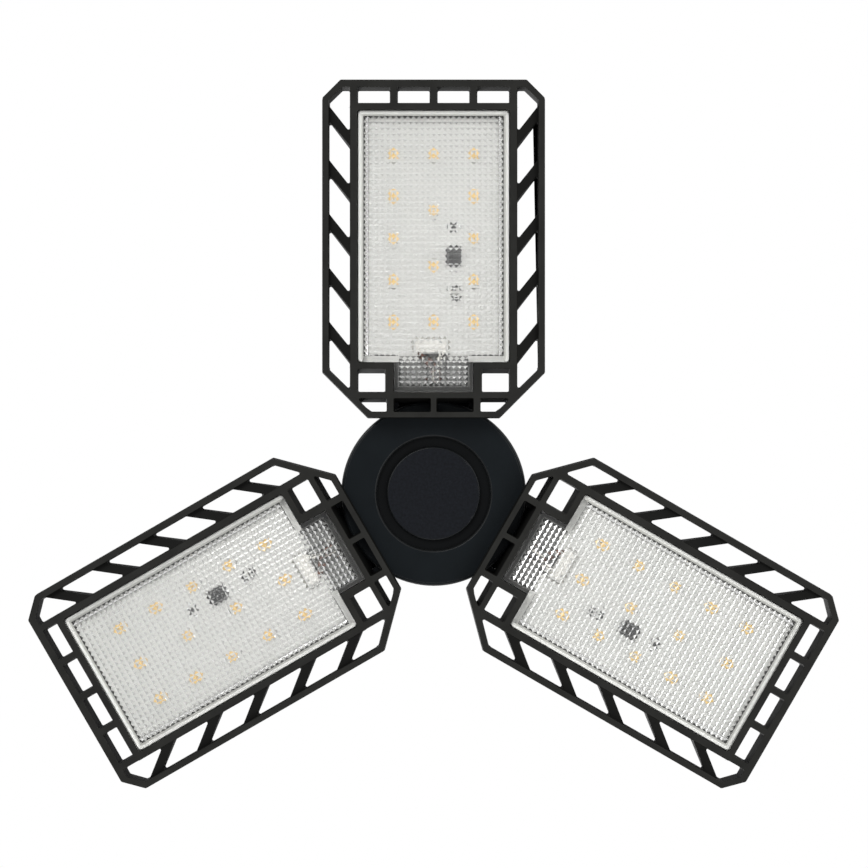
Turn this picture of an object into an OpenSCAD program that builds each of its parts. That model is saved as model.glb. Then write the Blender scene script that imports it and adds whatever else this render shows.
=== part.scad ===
// LED high bay lamp: three folding light panels around a round hub with a screw base.
// Z points up, towards the ceiling. The origin is on the lamp's axis, where the screw
// shell meets the neck of the hub. Panel 1 points along +Y, and the light falls along -Z.

/* [Screw base] */
// Outer radius of the smooth skirt of the screw shell
skirt_r = 13.1; // [12.5:0.05:14]
// Height of the smooth skirt
skirt_h = 5; // [4:0.5:8]
// Depth of the round thread
thread_depth = 1; // [0.6:0.1:1.2]
// Pitch of the thread
thread_pitch = 3.63; // [3.2:0.01:4.2]
// Turns of thread on the shell
thread_turns = 3.25; // [2:0.25:4]
// Thickness of the shell's sheet metal
shell_wall = 0.35; // [0.25:0.05:0.6]
// Height of the cone between the thread and the insulator
shell_cone_h = 3; // [2:0.25:5]
// Radius of the opening that the insulator fills
insulator_r = 8.6; // [7:0.1:10]
// Height of the insulator above the shell
insulator_h = 3.2; // [2:0.2:5]
// Radius of the centre contact
contact_r = 4.7; // [3.5:0.1:5.5]
// Height of the centre contact
contact_h = 1.8; // [1:0.1:3]

/* [Hub] */
// Radius of the round cover on the underside
hub_r = 32.5; // [30:0.5:36]
// Amount by which the cover stands proud of the housing
cover_lip = 2; // [1:0.25:3]
// Thickness of the cover
cover_t = 1.9; // [1.5:0.1:3]
// Radius of the centre cap
cap_r = 16.4; // [15.5:0.1:18]
// Thickness of the centre cap, and depth of the ring groove around it
cap_h = 2.2; // [1.8:0.1:3]
// Width of the ring groove around the centre cap
ring_groove = 3.6; // [2:0.2:5]
// Wall of the housing
hub_wall = 2; // [1.6:0.1:2.6]
// Height of the housing above the hinge axes
hinge_drop = 18; // [16:0.5:24]
// Height of the sloping shoulder
shoulder_h = 8; // [6:0.5:12]
// Outer radius of the neck
neck_r = 15.6; // [15.3:0.1:18]
// Height of the neck
neck_h = 14; // [11:0.5:20]
// Number of cooling slots in each of the three groups
vent_count = 5; // [3:1:6]
// Width of a cooling slot
vent_w = 2; // [1.2:0.1:2.6]
// Height of a cooling slot
vent_h = 11; // [6:0.5:13]

/* [Hinges] */
// Radius of the hinge knuckle
knuckle_r = 4.5; // [4.2:0.1:5.5]
// Length of the hinge knuckle
knuckle_len = 24; // [22:0.5:26]
// Gap at each end of the knuckle
side_gap = 0.3; // [0.2:0.05:0.6]
// Gap between the knuckle and the housing
swing_gap = 1; // [0.6:0.1:2]
// Thickness of an ear
ear_t = 3.9; // [3.6:0.1:5]
// Radius of the pivot screw's shank
pivot_r = 1.5; // [1.2:0.1:1.8]
// Depth of the pivot screw in the knuckle
pivot_grip = 8; // [6:0.5:10]
// Outer radius of the hollow bush
bush_r = 2.9; // [2.7:0.1:3.3]
// Bore radius of the hollow bush
bush_bore_r = 1.9; // [1.7:0.1:2.1]
// Radial running gap in the knuckle
run_gap = 0.05; // [0.02:0.01:0.1]
// Gap between the hub cover and a panel resting on its stop
stop_gap = 0.3; // [0.1:0.05:0.6]
// Length of the hinge arm's flange beyond the hinge axis
arm_len = 23; // [21:0.5:26]
// Thickness of the hinge arm's flange
arm_t = 2.2; // [1.6:0.1:3]

/* [Panel frame] */
// Width of a panel
panel_w = 78.3; // [74:0.5:86]
// Overlap of the panel over the hub cover
hub_overlap = 6.1; // [4:0.1:7]
// Width of the ring bars along the sides and corners
ring_bar = 2.45; // [1.8:0.05:3]
// Width of the bar at the outer end
outer_bar = 2.85; // [2:0.05:4]
// Width of the bar at the hub end
hub_bar = 2.2; // [1.6:0.1:3]
// Width of the bars beside the lens
core_bar = 2.4; // [1.8:0.1:3]
// Width of the bar at the lens's outer end
end_bar = 2.3; // [1.6:0.1:3]
// Width of the bar between the square and the hub row cells
cross_bar = 2; // [1.4:0.1:3]
// Width of the posts beside the lens's tongue
post_bar = 2.7; // [2:0.1:3.5]
// Width of the posts in the hub row
hub_post = 2.2; // [1.6:0.1:3]
// Width of the middle rib in the hub row
hub_rib = 1.9; // [1.2:0.1:2.6]
// Corner cut at the outer end
outer_cut = 6.5; // [4:0.5:9]
// Corner cut at the hub end
hub_cut = 16; // [14:0.5:18]
// Height of the row of cells at the outer end
outer_row = 5.65; // [4:0.05:8]
// Height of the row of cells at the hub end
hub_row = 4.9; // [4:0.1:6]
// Number of cells in the outer row
outer_cells = 4; // [3:1:5]
// Width of the ribs in the outer row
outer_rib = 2.2; // [1.4:0.1:3]
// Draft of the walls over the frame's depth
wall_draft = 0.35; // [0.1:0.05:0.5]
// Corner radius in the cells
cell_fillet = 0.5; // [0.3:0.05:0.7]

/* [Side fins] */
// Number of slanting fins on each side
fin_count = 5; // [4:1:6]
// Distance between two slanting fins
fin_pitch = 18.9; // [18:0.1:20]
// Thickness of a slanting fin along the panel
fin_t = 4.7; // [3:0.1:6]
// Angle of the fins from the panel's width
fin_angle = 52; // [45:1:56]
// Distance from the panel's outer end to the first fin, at the ring
fin_start = 11.5; // [11:0.1:13]
// Depth of the fins behind the front, at the ring
fin_recess = 2.6; // [1:0.1:3]
// Depth of the fins behind the front, at the core
fin_step = 0.6; // [0.3:0.1:1]

/* [Lens] */
// Width of the lens
lens_w = 53; // [50:0.5:55]
// Length of the lens without its tongue
lens_len = 88; // [86:0.5:92]
// Width of the lens's tongue
tongue_w = 27.6; // [26:0.1:29]
// Length of the lens's tongue
tongue_len = 9.9; // [9:0.1:12]
// Thickness of the lens's face
lens_t = 1.8; // [1.2:0.1:2.4]
// Thickness of the lens's side walls
lens_wall = 1.3; // [0.8:0.1:1.8]
// Depth of the lens behind the frame's front
lens_recess = 0.6; // [0.3:0.1:1.2]
// Gap around the lens
lens_gap = 0.2; // [0.1:0.05:0.3]
// Gap between the lens's tongue and the cross bar
tongue_gap = 0.6; // [0.4:0.05:1]
// Radius of the lens's corners
lens_corner = 1.2; // [0.6:0.1:2]

/* [LED board] */
// Thickness of the LED board
board_t = 1; // [0.8:0.1:1.6]
// Air gap between the board and the lens
air_h = 3.2; // [2.6:0.1:4]
// Thickness of the thermal pad
pad_t = 0.2; // [0.1:0.05:0.5]
// LEDs in each side column
side_leds = 5; // [4:1:6]
// LEDs in the middle column
mid_leds = 4; // [3:1:5]
// Distance of the side columns from the middle
led_column = 14.2; // [12:0.1:16]
// Distance from the lens's outer end to the first LEDs
led_start = 15.1; // [12:0.1:18]
// Distance from the last LEDs to the lens's hub end
led_end = 14.2; // [12:0.1:18]
// Width of an LED
led_w = 2.8; // [2:0.1:3.5]
// Length of an LED
led_l = 3.5; // [2.8:0.1:5]
// Height of an LED
led_h = 0.8; // [0.6:0.1:1.2]
// Width of the driver chip's body
chip_w = 5; // [4:0.5:6]
// Length of the driver chip's body
chip_l = 6; // [5:0.5:7]
// Height of the driver chip's body
chip_h = 1.6; // [1:0.1:2]
// Width of a chip resistor
chip_part_w = 1.6; // [1:0.1:2]
// Length of a chip resistor
chip_part_l = 3.2; // [2:0.1:3.6]
// Width of the wire connector
plug_w = 10.8; // [9:0.1:12]
// Length of the wire connector
plug_l = 4.2; // [3:0.1:5]

/* [Heat sink] */
// Thickness of the heat sink's plate
plate_t = 1.6; // [1.2:0.1:2]
// Height of the raised seat under the LED board
pedestal_h = 2.2; // [1.8:0.1:3]
// Number of cooling fins
sink_fins = 13; // [9:1:15]
// Thickness of a cooling fin
sink_fin_t = 1; // [0.8:0.1:1.4]
// Height of a cooling fin
sink_fin_h = 4.5; // [3:0.1:4.8]

/* [Driver] */
// Thickness of the driver board
driver_t = 1.6; // [1:0.1:2]
// Height of the driver board above the hinge axes
driver_rise = 4.6; // [4:0.1:6]
// Radius of the bulk capacitor
bulk_r = 5; // [4:0.25:6]
// Height of the bulk capacitor
bulk_h = 14; // [10:0.5:16]
// Radius of a lead wire
wire_r = 0.55; // [0.4:0.05:0.6]

/* [Fasteners] */
// Shank radius of the small screws
screw_r = 1; // [0.8:0.1:1.2]
// Head radius of the small screws
screw_head_r = 1.9; // [1.7:0.1:2.2]
// Head height of the small screws
screw_head_h = 1.1; // [0.8:0.1:1.2]

/* [Hidden] */
$fn = 64;
panel_count = 3;
PANELS = [1 : panel_count];
HUB_NODES = ["screw_shell", "base_insulator", "base_contact", "hub_neck", "hub_housing", "hub_cover",
    "centre_cap", "driver_board", "rectifier", "bulk_capacitor", "film_capacitor", "fuse_resistor",
    "surge_disc", "output_connectors", "input_wires", "output_wires", "cover_screws", "hinge_screws",
    "hinge_washers", "hinge_bushes"];
PANEL_NODES = ["panel_frame", "heat_sink", "hinge_arm", "arm_screws", "frame_screws", "thermal_pad",
    "led_board", "leds", "driver_chip", "chip_resistors", "wire_connector", "panel_wires", "lens"];

BLACK = "#2b2c2c";
HUB_BLACK = "#1d2023";
NICKEL = "#c9c6bd";
BRASS = "#c8a24a";
STEEL = "#a9acae";
ALUMINIUM = "#b4b6b4";
WHITE = "#ece9e2";
AMBER = "#e5cf9f";
GREEN = "#2f6b45";
BROWN = "#7a4a34";

// One overrun for every cut, the clearance of a sliding fit, and the facets of soft meshes
overrun = 0.5;
fit_gap = 0.1;
mesh_fn = 12;
tube_fn = 8;

// Radii and widths of the hub
body_r = hub_r - cover_lip;
body_in_r = body_r - hub_wall;
hinge_r = body_r + swing_gap + knuckle_r;
cup_r = cap_r + ring_groove;
cup_wall = 1.6;
rim_round = 0.9;
rim_line = 1.1;
rim_step = 0.2;
lip_bevel = 0.6;
locate_h = 1.6;
locate_t = 1.4;
neck_in_r = neck_r - hub_wall - fit_gap;
collar_r = neck_in_r - fit_gap;
collar_in_r = collar_r - locate_t;
spigot_r = skirt_r - thread_depth - 2 * shell_wall;
spigot_wall = 1.6;
spigot_h = skirt_h + thread_turns * thread_pitch;

// Heights, from the hinge axes down to the front of the panels
hinge_z = -(neck_h + shoulder_h + hinge_drop);
body_top_z = -(neck_h + shoulder_h);
cover_back_z = hinge_z - knuckle_r - side_gap;
cover_front_z = cover_back_z - cover_t;
cup_front_z = cover_front_z + cap_h;
cup_back_z = cup_front_z + cup_wall;
frame_back_z = cover_front_z - stop_gap;
frame_depth = pedestal_h + pad_t + board_t + air_h + lens_t + lens_recess;
frame_front_z = frame_back_z - frame_depth;
plate_back_z = frame_back_z + plate_t;
seat_z = frame_back_z - pedestal_h;
pad_front_z = seat_z - pad_t;
board_front_z = pad_front_z - board_t;
lens_front_z = frame_front_z + lens_recess;
lens_back_z = lens_front_z + lens_t;

// Widths and places across a panel, measured along Y from the lamp's axis
ring_x = panel_w / 2;
ring_in_x = ring_x - ring_bar;
core_x = lens_w / 2 + lens_gap;
core_out_x = core_x + core_bar;
tongue_x = tongue_w / 2 + lens_gap;
hub_edge_y = hub_r - hub_overlap;
hub_row_y = hub_edge_y + hub_bar;
cross_y = hub_row_y + hub_row;
cross_out_y = cross_y + cross_bar;
tongue_y = cross_out_y + tongue_gap;
lens_y = tongue_y + tongue_len;
notch_bar = 2.1;
notch_y = lens_y - lens_gap - notch_bar;
lens_out_y = lens_y + lens_len;
end_y = lens_out_y + lens_gap;
outer_row_y = end_y + end_bar;
outer_row_out_y = outer_row_y + outer_row;
outer_y = outer_row_out_y + outer_bar;
corner_bar = ring_bar * sqrt(2);
rib_pitch = (2 * core_x + core_bar) / outer_cells;
lean_end = 0.5;
lean_hub = 1.3;
outline_round = 0.8;

// Fin lines on the sides: the middle of fin n at a distance x from the panel's middle
fin_slope = tan(fin_angle);
function fin_y(n, x) = outer_y - fin_start - n * fin_pitch + (x - ring_in_x) * fin_slope;

// LED board, heat sink and gussets
board_x = lens_w / 2 - fit_gap;
board_y = lens_y + fit_gap;
board_out_y = lens_out_y - fit_gap;
pad_margin = 1;
wire_notch = [9.4, 3];
snap_w = 2;
gusset = 6;
plate_x = core_x + core_bar * 0.8;
plate_y = notch_y + notch_bar / 4;
plate_out_y = end_y + end_bar * 0.8;
plate_tongue_x = tongue_x + hub_post * 0.7;
plate_tongue_y = cross_out_y - cross_bar / 2;
gusset_in = 3.2;
fin_edge = 4;
sink_fin_y = hinge_r + arm_len + 3 * screw_r;
sink_fin_out_y = plate_out_y - 2 * gusset_in - 2 * screw_r;

// Hinge parts along X, from the middle of the knuckle
knuckle_x = knuckle_len / 2;
ear_x = knuckle_x + side_gap;
ear_out_x = ear_x + ear_t;
bush_in_x = knuckle_x * 0.62;
bush_out_x = ear_out_x - ear_t / 4;
channel_x = ear_x + ear_t * 0.42;
channel_r = bush_bore_r * 0.8;
washer_t = 0.4;
pivot_head_h = 1.4;
pivot_head_r = pivot_r + 1.1;
head_pocket = washer_t + pivot_head_h + fit_gap;
plug_x = 0.9;
wire_hole_r = 1.8;
wire_hole_x = plug_x - wire_hole_r;
wire_hole_y = hinge_r + knuckle_r * 0.9;
wire_floor_z = seat_z - wire_r - fit_gap;
cavity_x = wire_hole_x - wire_hole_r - fit_gap;
arm_screw_x = knuckle_x * 0.68;
arm_top_z = plate_back_z + arm_t;
arm_screw_y = [lens_y + gusset_in + screw_r, hinge_r + arm_len - screw_head_r - overrun];

// Driver and the posts that clamp it
post_ring = cap_r * 0.72;
post_r = 2.6;
post_pilot_r = 0.8;
cover_screw_r = 1.1;
cover_screw_head_r = 2.1;
cap_skin = 0.9;
driver_z = hinge_z + driver_rise;
driver_top_z = driver_z + driver_t;
driver_r = body_in_r - 3;
wire_pair = wire_r + fit_gap;

// Parts on the driver board: their ring, their sizes, and their places around the ring
part_ring = 14.5;
rectifier_size = [8.6, 6.5, 3.2];
film_size = [11, 5, 8.5];
disc_r = 3.6;
disc_t = 3.4;
fuse_r = 1.9;
fuse_h = 9;
header_size = [6.4, 5, 3.4];
header_y = driver_r - header_size[1] / 2 - header_size[0];
film_turn = 120;
disc_turn = 225;
fuse_turn = 258;

// Screw shell: the crest and the middle of the round thread, and the heights above it
shell_top_z = spigot_h;
cone_top_z = shell_top_z + shell_cone_h;
crest_r = skirt_r - shell_wall / 5;
mid_r = crest_r - thread_depth / 2;
thread_fn = 40;
thread_slices = 14;
shoulder_steps = 6;

// Cooling slots: the angle from one slot to the next
vent_turn = 9;

// Parts on the LED board
led_span = lens_len - led_start - led_end;
chip_x = -led_column / 2;
chip_y_share = 0.61;
chip_y = lens_out_y - led_start - led_span * chip_y_share;
chip_pins = 4;
pin_w = chip_w / 10;
pin_l = 0.9;
pin_t = 0.3;
chip_part_h = chip_part_w * 0.4;
chip_part_shares = [[0.02, 0.43], [-0.03, 0.8], [-0.06, 0.86]];
plug_y = board_y + wire_notch[1] + plug_l / 2 + wire_r;
plug_h = air_h * 0.85;

module at_panel(i) {
    rotate([0, 0, 360 / panel_count * (i - 1)]) children();
}

module block(low, high) {
    translate(low) cube(high - low);
}

module rod_x(r, from_x, to_x) {
    translate([from_x, hinge_r, hinge_z]) rotate([0, 90, 0]) cylinder(r = r, h = to_x - from_x);
}

module rod_z(r, from_z, to_z) {
    translate([0, 0, from_z]) cylinder(r = r, h = to_z - from_z);
}

// A flat plate between two corners with round corners of radius r
module round_plate(low, high, r) {
    translate([0, 0, low[2]]) linear_extrude(high[2] - low[2]) {
        translate([low[0] + r, low[1]]) square([high[0] - low[0] - 2 * r, high[1] - low[1]]);
        translate([low[0], low[1] + r]) square([high[0] - low[0], high[1] - low[1] - 2 * r]);
        for (x = [low[0] + r, high[0] - r], y = [low[1] + r, high[1] - r])
            translate([x, y]) circle(r);
    }
}

// Points on a smooth curve through the given points, steps to a span
function spline_point(p, k, t) =
    let (a = p[max(k - 1, 0)], b = p[k], c = p[k + 1], d = p[min(k + 2, len(p) - 1)])
    0.5 * ((2 * b) + (c - a) * t + (2 * a - 5 * b + 4 * c - d) * t * t
        + (3 * b - a - 3 * c + d) * t * t * t);
function spline(p, steps) = concat(
    [for (k = [0 : len(p) - 2], s = [0 : steps - 1]) spline_point(p, k, s / steps)],
    [p[len(p) - 1]]);
function unit(v) = v / norm(v);
function tangent(p, k) = unit(p[min(k + 1, len(p) - 1)] - p[max(k - 1, 0)]);

// A round wire of radius r along a path; side is a direction that the path never follows
module wire(points, r, side) {
    path = spline(points, 2);
    n = len(path);
    ring = [for (k = [0 : n - 1])
        let (t = tangent(path, k), u = unit(cross(t, side)), v = cross(t, u))
        for (s = [0 : tube_fn - 1])
            path[k] + r * (cos(360 * s / tube_fn) * u + sin(360 * s / tube_fn) * v)];
    skin = [for (k = [0 : n - 2], s = [0 : tube_fn - 1])
        let (a = k * tube_fn + s, b = k * tube_fn + (s + 1) % tube_fn)
        each [[a, b, a + tube_fn], [b, b + tube_fn, a + tube_fn]]];
    first_cap = [[for (s = [0 : tube_fn - 1]) tube_fn - 1 - s]];
    last_cap = [[for (s = [0 : tube_fn - 1]) (n - 1) * tube_fn + s]];
    polyhedron(points = ring, faces = concat(skin, first_cap, last_cap), convexity = 6);
}

// A pan head screw whose head sits on z = 0 and whose shank points down
module screw(shank_r, shank_l, head_r, head_h) {
    difference() {
        union() {
            rod_z(shank_r, -shank_l, head_h / 2);
            rotate_extrude() polygon([[0, 0], [head_r, 0], [head_r, head_h * 0.6],
                [head_r * 0.75, head_h], [0, head_h]]);
        }
        for (turn = [0, 90]) rotate([0, 0, turn]) translate([-head_r * 0.6, -head_r * 0.12, head_h / 2])
            cube([head_r * 1.2, head_r * 0.24, head_h]);
    }
}

// Screw base

module screw_shell() {
    inner_r = crest_r - thread_depth - shell_wall;
    cone_r = inner_r + shell_wall * 0.6;
    low_z = skirt_h - overrun;
    color(NICKEL) difference() {
        union() {
            rod_z(skirt_r, 0, skirt_h);
            translate([0, 0, low_z])
                linear_extrude(shell_top_z - low_z, twist = -360 * thread_turns,
                    slices = thread_slices * thread_turns, convexity = 4)
                    translate([thread_depth / 2, 0]) circle(mid_r, $fn = thread_fn);
            rotate_extrude() polygon([[0, shell_top_z - overrun], [cone_r, shell_top_z - overrun],
                [cone_r, shell_top_z], [insulator_r + shell_wall, cone_top_z], [0, cone_top_z]]);
        }
        rotate_extrude() polygon([[0, -overrun], [inner_r, -overrun], [inner_r, shell_top_z],
            [insulator_r, cone_top_z], [insulator_r, cone_top_z + overrun],
            [0, cone_top_z + overrun]]);
    }
}

module base_insulator() {
    color("#15161a") rotate_extrude() polygon([[0, shell_top_z], [insulator_r - shell_wall, shell_top_z],
        [insulator_r - shell_wall, cone_top_z], [insulator_r + shell_wall, cone_top_z],
        [insulator_r + shell_wall, cone_top_z + insulator_h / 4],
        [contact_r + shell_wall, cone_top_z + insulator_h],
        [0, cone_top_z + insulator_h]]);
}

module base_contact() {
    base_z = cone_top_z + insulator_h;
    color(NICKEL) rotate_extrude() polygon([[0, base_z], [contact_r, base_z],
        [contact_r, base_z + contact_h / 3], [contact_r * 0.7, base_z + contact_h * 0.8],
        [contact_r * 0.35, base_z + contact_h], [0, base_z + contact_h]]);
}

// Hub

// The shoulder is an arc that rises from the housing's wall and falls to the neck
function shoulder(r_out, r_in, z_low, z_high) = [for (k = [0 : shoulder_steps])
    let (a = 90 * k / shoulder_steps)
    [r_in + (r_out - r_in) * cos(a), z_low + (z_high - z_low) * sin(a)]];

module housing_shell() {
    rotate_extrude() polygon(concat(
        [[body_r, cover_back_z]],
        shoulder(body_r, neck_r, body_top_z, -neck_h),
        [[collar_r, -neck_h], [collar_r, locate_h - neck_h], [collar_in_r, locate_h - neck_h]],
        [for (k = [shoulder_steps : -1 : 0])
            shoulder(body_in_r, collar_in_r, body_top_z - hub_wall, -neck_h - hub_wall)[k]],
        [[body_in_r, cover_back_z]]));
}

// The neck sits over the collar of the housing and carries the screw shell on its spigot
module hub_neck() {
    color(HUB_BLACK) rotate_extrude() polygon([[neck_r, -neck_h], [neck_r, -shell_wall],
        [neck_r - shell_wall, 0], [spigot_r, 0], [spigot_r, spigot_h - fit_gap],
        [spigot_r - spigot_wall, spigot_h - fit_gap], [spigot_r - spigot_wall, -hub_wall],
        [neck_in_r, -2 * hub_wall], [neck_in_r, -neck_h]]);
}

// One ear stands on each side of a hinge, from inside the wall out to the hinge axis
module ear(side) {
    x = side > 0 ? ear_x : -ear_out_x;
    translate([x, 0, hinge_z]) rotate([90, 0, 90]) linear_extrude(ear_t) {
        translate([hinge_r, 0]) circle(knuckle_r);
        translate([body_in_r - hub_wall, -knuckle_r])
            square([hinge_r - body_in_r + hub_wall, 2 * knuckle_r]);
    }
}

module vent() {
    low_z = hinge_z + knuckle_r;
    translate([0, body_r, low_z]) rotate([90, 0, 0]) translate([0, 0, -overrun]) {
        linear_extrude(hub_wall * 2) {
            translate([-vent_w / 2, vent_w / 2]) square([vent_w, vent_h - vent_w]);
            for (y = [vent_w / 2, vent_h - vent_w / 2]) translate([0, y]) circle(vent_w / 2);
        }
    }
}

module at_posts() {
    for (i = PANELS) rotate([0, 0, 60 + 360 / panel_count * i]) translate([0, post_ring, 0]) children();
}

module hub_housing() {
    color(HUB_BLACK) difference() {
        union() {
            housing_shell();
            for (i = PANELS, side = [-1, 1]) at_panel(i) ear(side);
            at_posts() rod_z(post_r, driver_top_z, -neck_h);
        }
        for (i = PANELS) at_panel(i) {
            rod_x(pivot_r, -ear_out_x - overrun, -ear_x + overrun);
            rod_x(pivot_head_r + fit_gap, -ear_out_x - overrun, -ear_out_x + head_pocket);
            rod_x(bush_r, ear_x - overrun, bush_out_x);
            translate([channel_x, hinge_r, hinge_z]) rotate([90, 0, 0])
                cylinder(r = channel_r, h = hinge_r - body_in_r + 3 * hub_wall);
            for (k = [0 : vent_count - 1])
                rotate([0, 0, 60 + vent_turn * (k - (vent_count - 1) / 2)]) vent();
        }
        at_posts() rod_z(post_pilot_r, driver_top_z - overrun, driver_top_z + 3 * post_r);
    }
}

module hub_cover() {
    locate_r = body_in_r - fit_gap;
    round_steps = 5;
    rim = [for (k = [0 : round_steps]) let (a = 90 * k / round_steps)
        [hub_r - rim_round + rim_round * sin(a), cover_front_z + rim_step + rim_round * (1 - cos(a))]];
    color(HUB_BLACK) difference() {
        union() {
            rotate_extrude() polygon(concat(
                [[0, cup_front_z], [cup_r, cup_front_z], [cup_r, cover_front_z + lip_bevel],
                    [cup_r + lip_bevel, cover_front_z], [hub_r - rim_line, cover_front_z],
                    [hub_r - rim_line, cover_front_z + rim_step]],
                rim,
                [[hub_r, cover_back_z], [locate_r, cover_back_z], [locate_r, cover_back_z + locate_h],
                    [locate_r - locate_t, cover_back_z + locate_h], [locate_r - locate_t, cover_back_z],
                    [cup_r + cup_wall, cover_back_z], [cup_r + cup_wall, cup_back_z], [0, cup_back_z]]));
            at_posts() rod_z(post_r, cup_back_z - cup_wall / 2, driver_z);
        }
        for (i = PANELS, side = [-1, 1]) at_panel(i)
            translate([side * (ear_x + ear_t / 2), body_in_r, cover_back_z + locate_h / 2])
                cube([ear_t + side_gap, 4 * hub_wall, locate_h], center = true);
        at_posts() rod_z(cover_screw_r, cup_front_z - overrun, driver_z + overrun);
        rod_z(cover_screw_r + fit_gap, cup_front_z - overrun, cup_back_z + overrun);
    }
}

module centre_cap() {
    edge = cap_skin * 0.45;
    ring_w = cap_r * 0.06;
    color(HUB_BLACK) {
        rotate_extrude() polygon([[0, cover_front_z], [cap_r - edge, cover_front_z],
            [cap_r, cover_front_z + edge], [cap_r, cup_front_z], [cap_r - ring_w, cup_front_z],
            [cap_r - ring_w, cover_front_z + cap_skin], [0, cover_front_z + cap_skin]]);
        rod_z(cover_screw_r, cover_front_z + cap_skin / 2, cup_back_z);
    }
}

module cover_screws() {
    color(STEEL) at_posts() translate([0, 0, cup_front_z]) mirror([0, 0, 1])
        screw(post_pilot_r, driver_top_z - cup_front_z + 2 * post_r, cover_screw_head_r, screw_head_h);
}

// Driver electronics in the hub

module driver_board() {
    color(GREEN) difference() {
        rod_z(driver_r, driver_z, driver_top_z);
        at_posts() rod_z(post_pilot_r + fit_gap, driver_z - overrun, driver_top_z + overrun);
    }
}

module rectifier() {
    color("#202022") translate([-rectifier_size[0] / 2, part_ring - rectifier_size[1] / 2, driver_top_z])
        cube(rectifier_size);
}

module bulk_capacitor() {
    edge = bulk_r / 8;
    color("#27303f") rotate_extrude() polygon([[0, driver_top_z], [bulk_r - edge, driver_top_z],
        [bulk_r, driver_top_z + edge], [bulk_r, driver_top_z + 2 * edge],
        [bulk_r - edge / 2, driver_top_z + 3 * edge], [bulk_r, driver_top_z + 4 * edge],
        [bulk_r, driver_top_z + bulk_h - edge], [bulk_r - edge, driver_top_z + bulk_h],
        [0, driver_top_z + bulk_h]]);
}

module film_capacitor() {
    color("#b8862f") rotate([0, 0, film_turn]) translate([0, part_ring, driver_top_z])
        translate([-film_size[0] / 2, -film_size[1] / 2, 0]) cube(film_size);
}

module surge_disc() {
    color("#2f5f96") rotate([0, 0, disc_turn])
        translate([-disc_t / 2, part_ring + disc_r, driver_top_z + disc_r])
            rotate([0, 90, 0]) cylinder(r = disc_r, h = disc_t);
}

module fuse_resistor() {
    color("#6f8f6a") rotate([0, 0, fuse_turn]) translate([0, part_ring, driver_top_z])
        rod_z(fuse_r, 0, fuse_h);
}

module output_connectors() {
    color(WHITE) for (i = PANELS) at_panel(i)
        translate([channel_x - header_size[0] / 2, header_y - header_size[1] / 2, driver_z - header_size[2]])
            cube(header_size);
}

module input_wires() {
    foot = bulk_r + 3 * wire_r;
    color("#8a8a86") for (side = [-1, 1])
        wire([[side * foot, 0, driver_top_z], [side * foot, 0, driver_top_z + bulk_h / 2],
            [side * foot * 0.9, wire_r, driver_top_z + bulk_h], [side * foot * 0.8, 0, -neck_h / 2],
            [side * (side > 0 ? foot * 0.7 : contact_r / 2), 0, shell_top_z / 2],
            [side * (side > 0 ? foot * 0.7 : contact_r / 2), 0, shell_top_z]], wire_r, [0, 1, 0]);
}

// The pair leaves the header, enters the ear and turns into the hollow bush
module output_wires() {
    start_y = header_y + header_size[1] / 2 + fit_gap / 2;
    start_z = driver_z - header_size[2] * 0.7;
    bend = bush_bore_r * 0.8;
    meet_x = knuckle_x + side_gap / 2 + fit_gap / 2;
    for (i = PANELS) at_panel(i) for (side = [-1, 1]) color(side > 0 ? WHITE : BROWN) {
        dz = side * wire_pair;
        wire([[channel_x, start_y, start_z + dz],
            [channel_x, start_y + bend / 3, start_z + dz],
            [channel_x, start_y + bend * 2 / 3, start_z + dz],
            [channel_x, body_in_r - 2 * hub_wall, hinge_z + dz + wire_r / 2],
            [channel_x, body_in_r - hub_wall, hinge_z + dz],
            [channel_x, hinge_r - 2 * bend, hinge_z + dz],
            [channel_x - bend / 8, hinge_r - bend, hinge_z + dz],
            [meet_x + bend * 0.5, hinge_r, hinge_z + dz],
            [meet_x + bend * 0.25, hinge_r, hinge_z + dz],
            [meet_x, hinge_r, hinge_z + dz]], wire_r, [0, 0, 1]);
    }
}

// Hinges

module hinge_screws() {
    seat_x = ear_out_x - head_pocket + washer_t;
    color(STEEL) for (i = PANELS) at_panel(i) translate([-seat_x, hinge_r, hinge_z]) rotate([0, -90, 0])
        screw(pivot_r, seat_x - knuckle_x + pivot_grip, pivot_head_r, pivot_head_h);
}

module hinge_washers() {
    color(STEEL) for (i = PANELS) at_panel(i) difference() {
        rod_x(pivot_head_r, -ear_out_x + head_pocket - washer_t, -ear_out_x + head_pocket);
        rod_x(pivot_r, -ear_out_x - overrun, -ear_x);
    }
}

module hinge_bushes() {
    color(BRASS) for (i = PANELS) at_panel(i) difference() {
        rod_x(bush_r, bush_in_x, bush_out_x);
        rod_x(bush_bore_r, bush_in_x - overrun, bush_out_x + overrun);
        translate([channel_x, hinge_r, hinge_z]) rotate([90, 0, 0])
            cylinder(r = channel_r, h = bush_r + overrun);
    }
}

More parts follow.
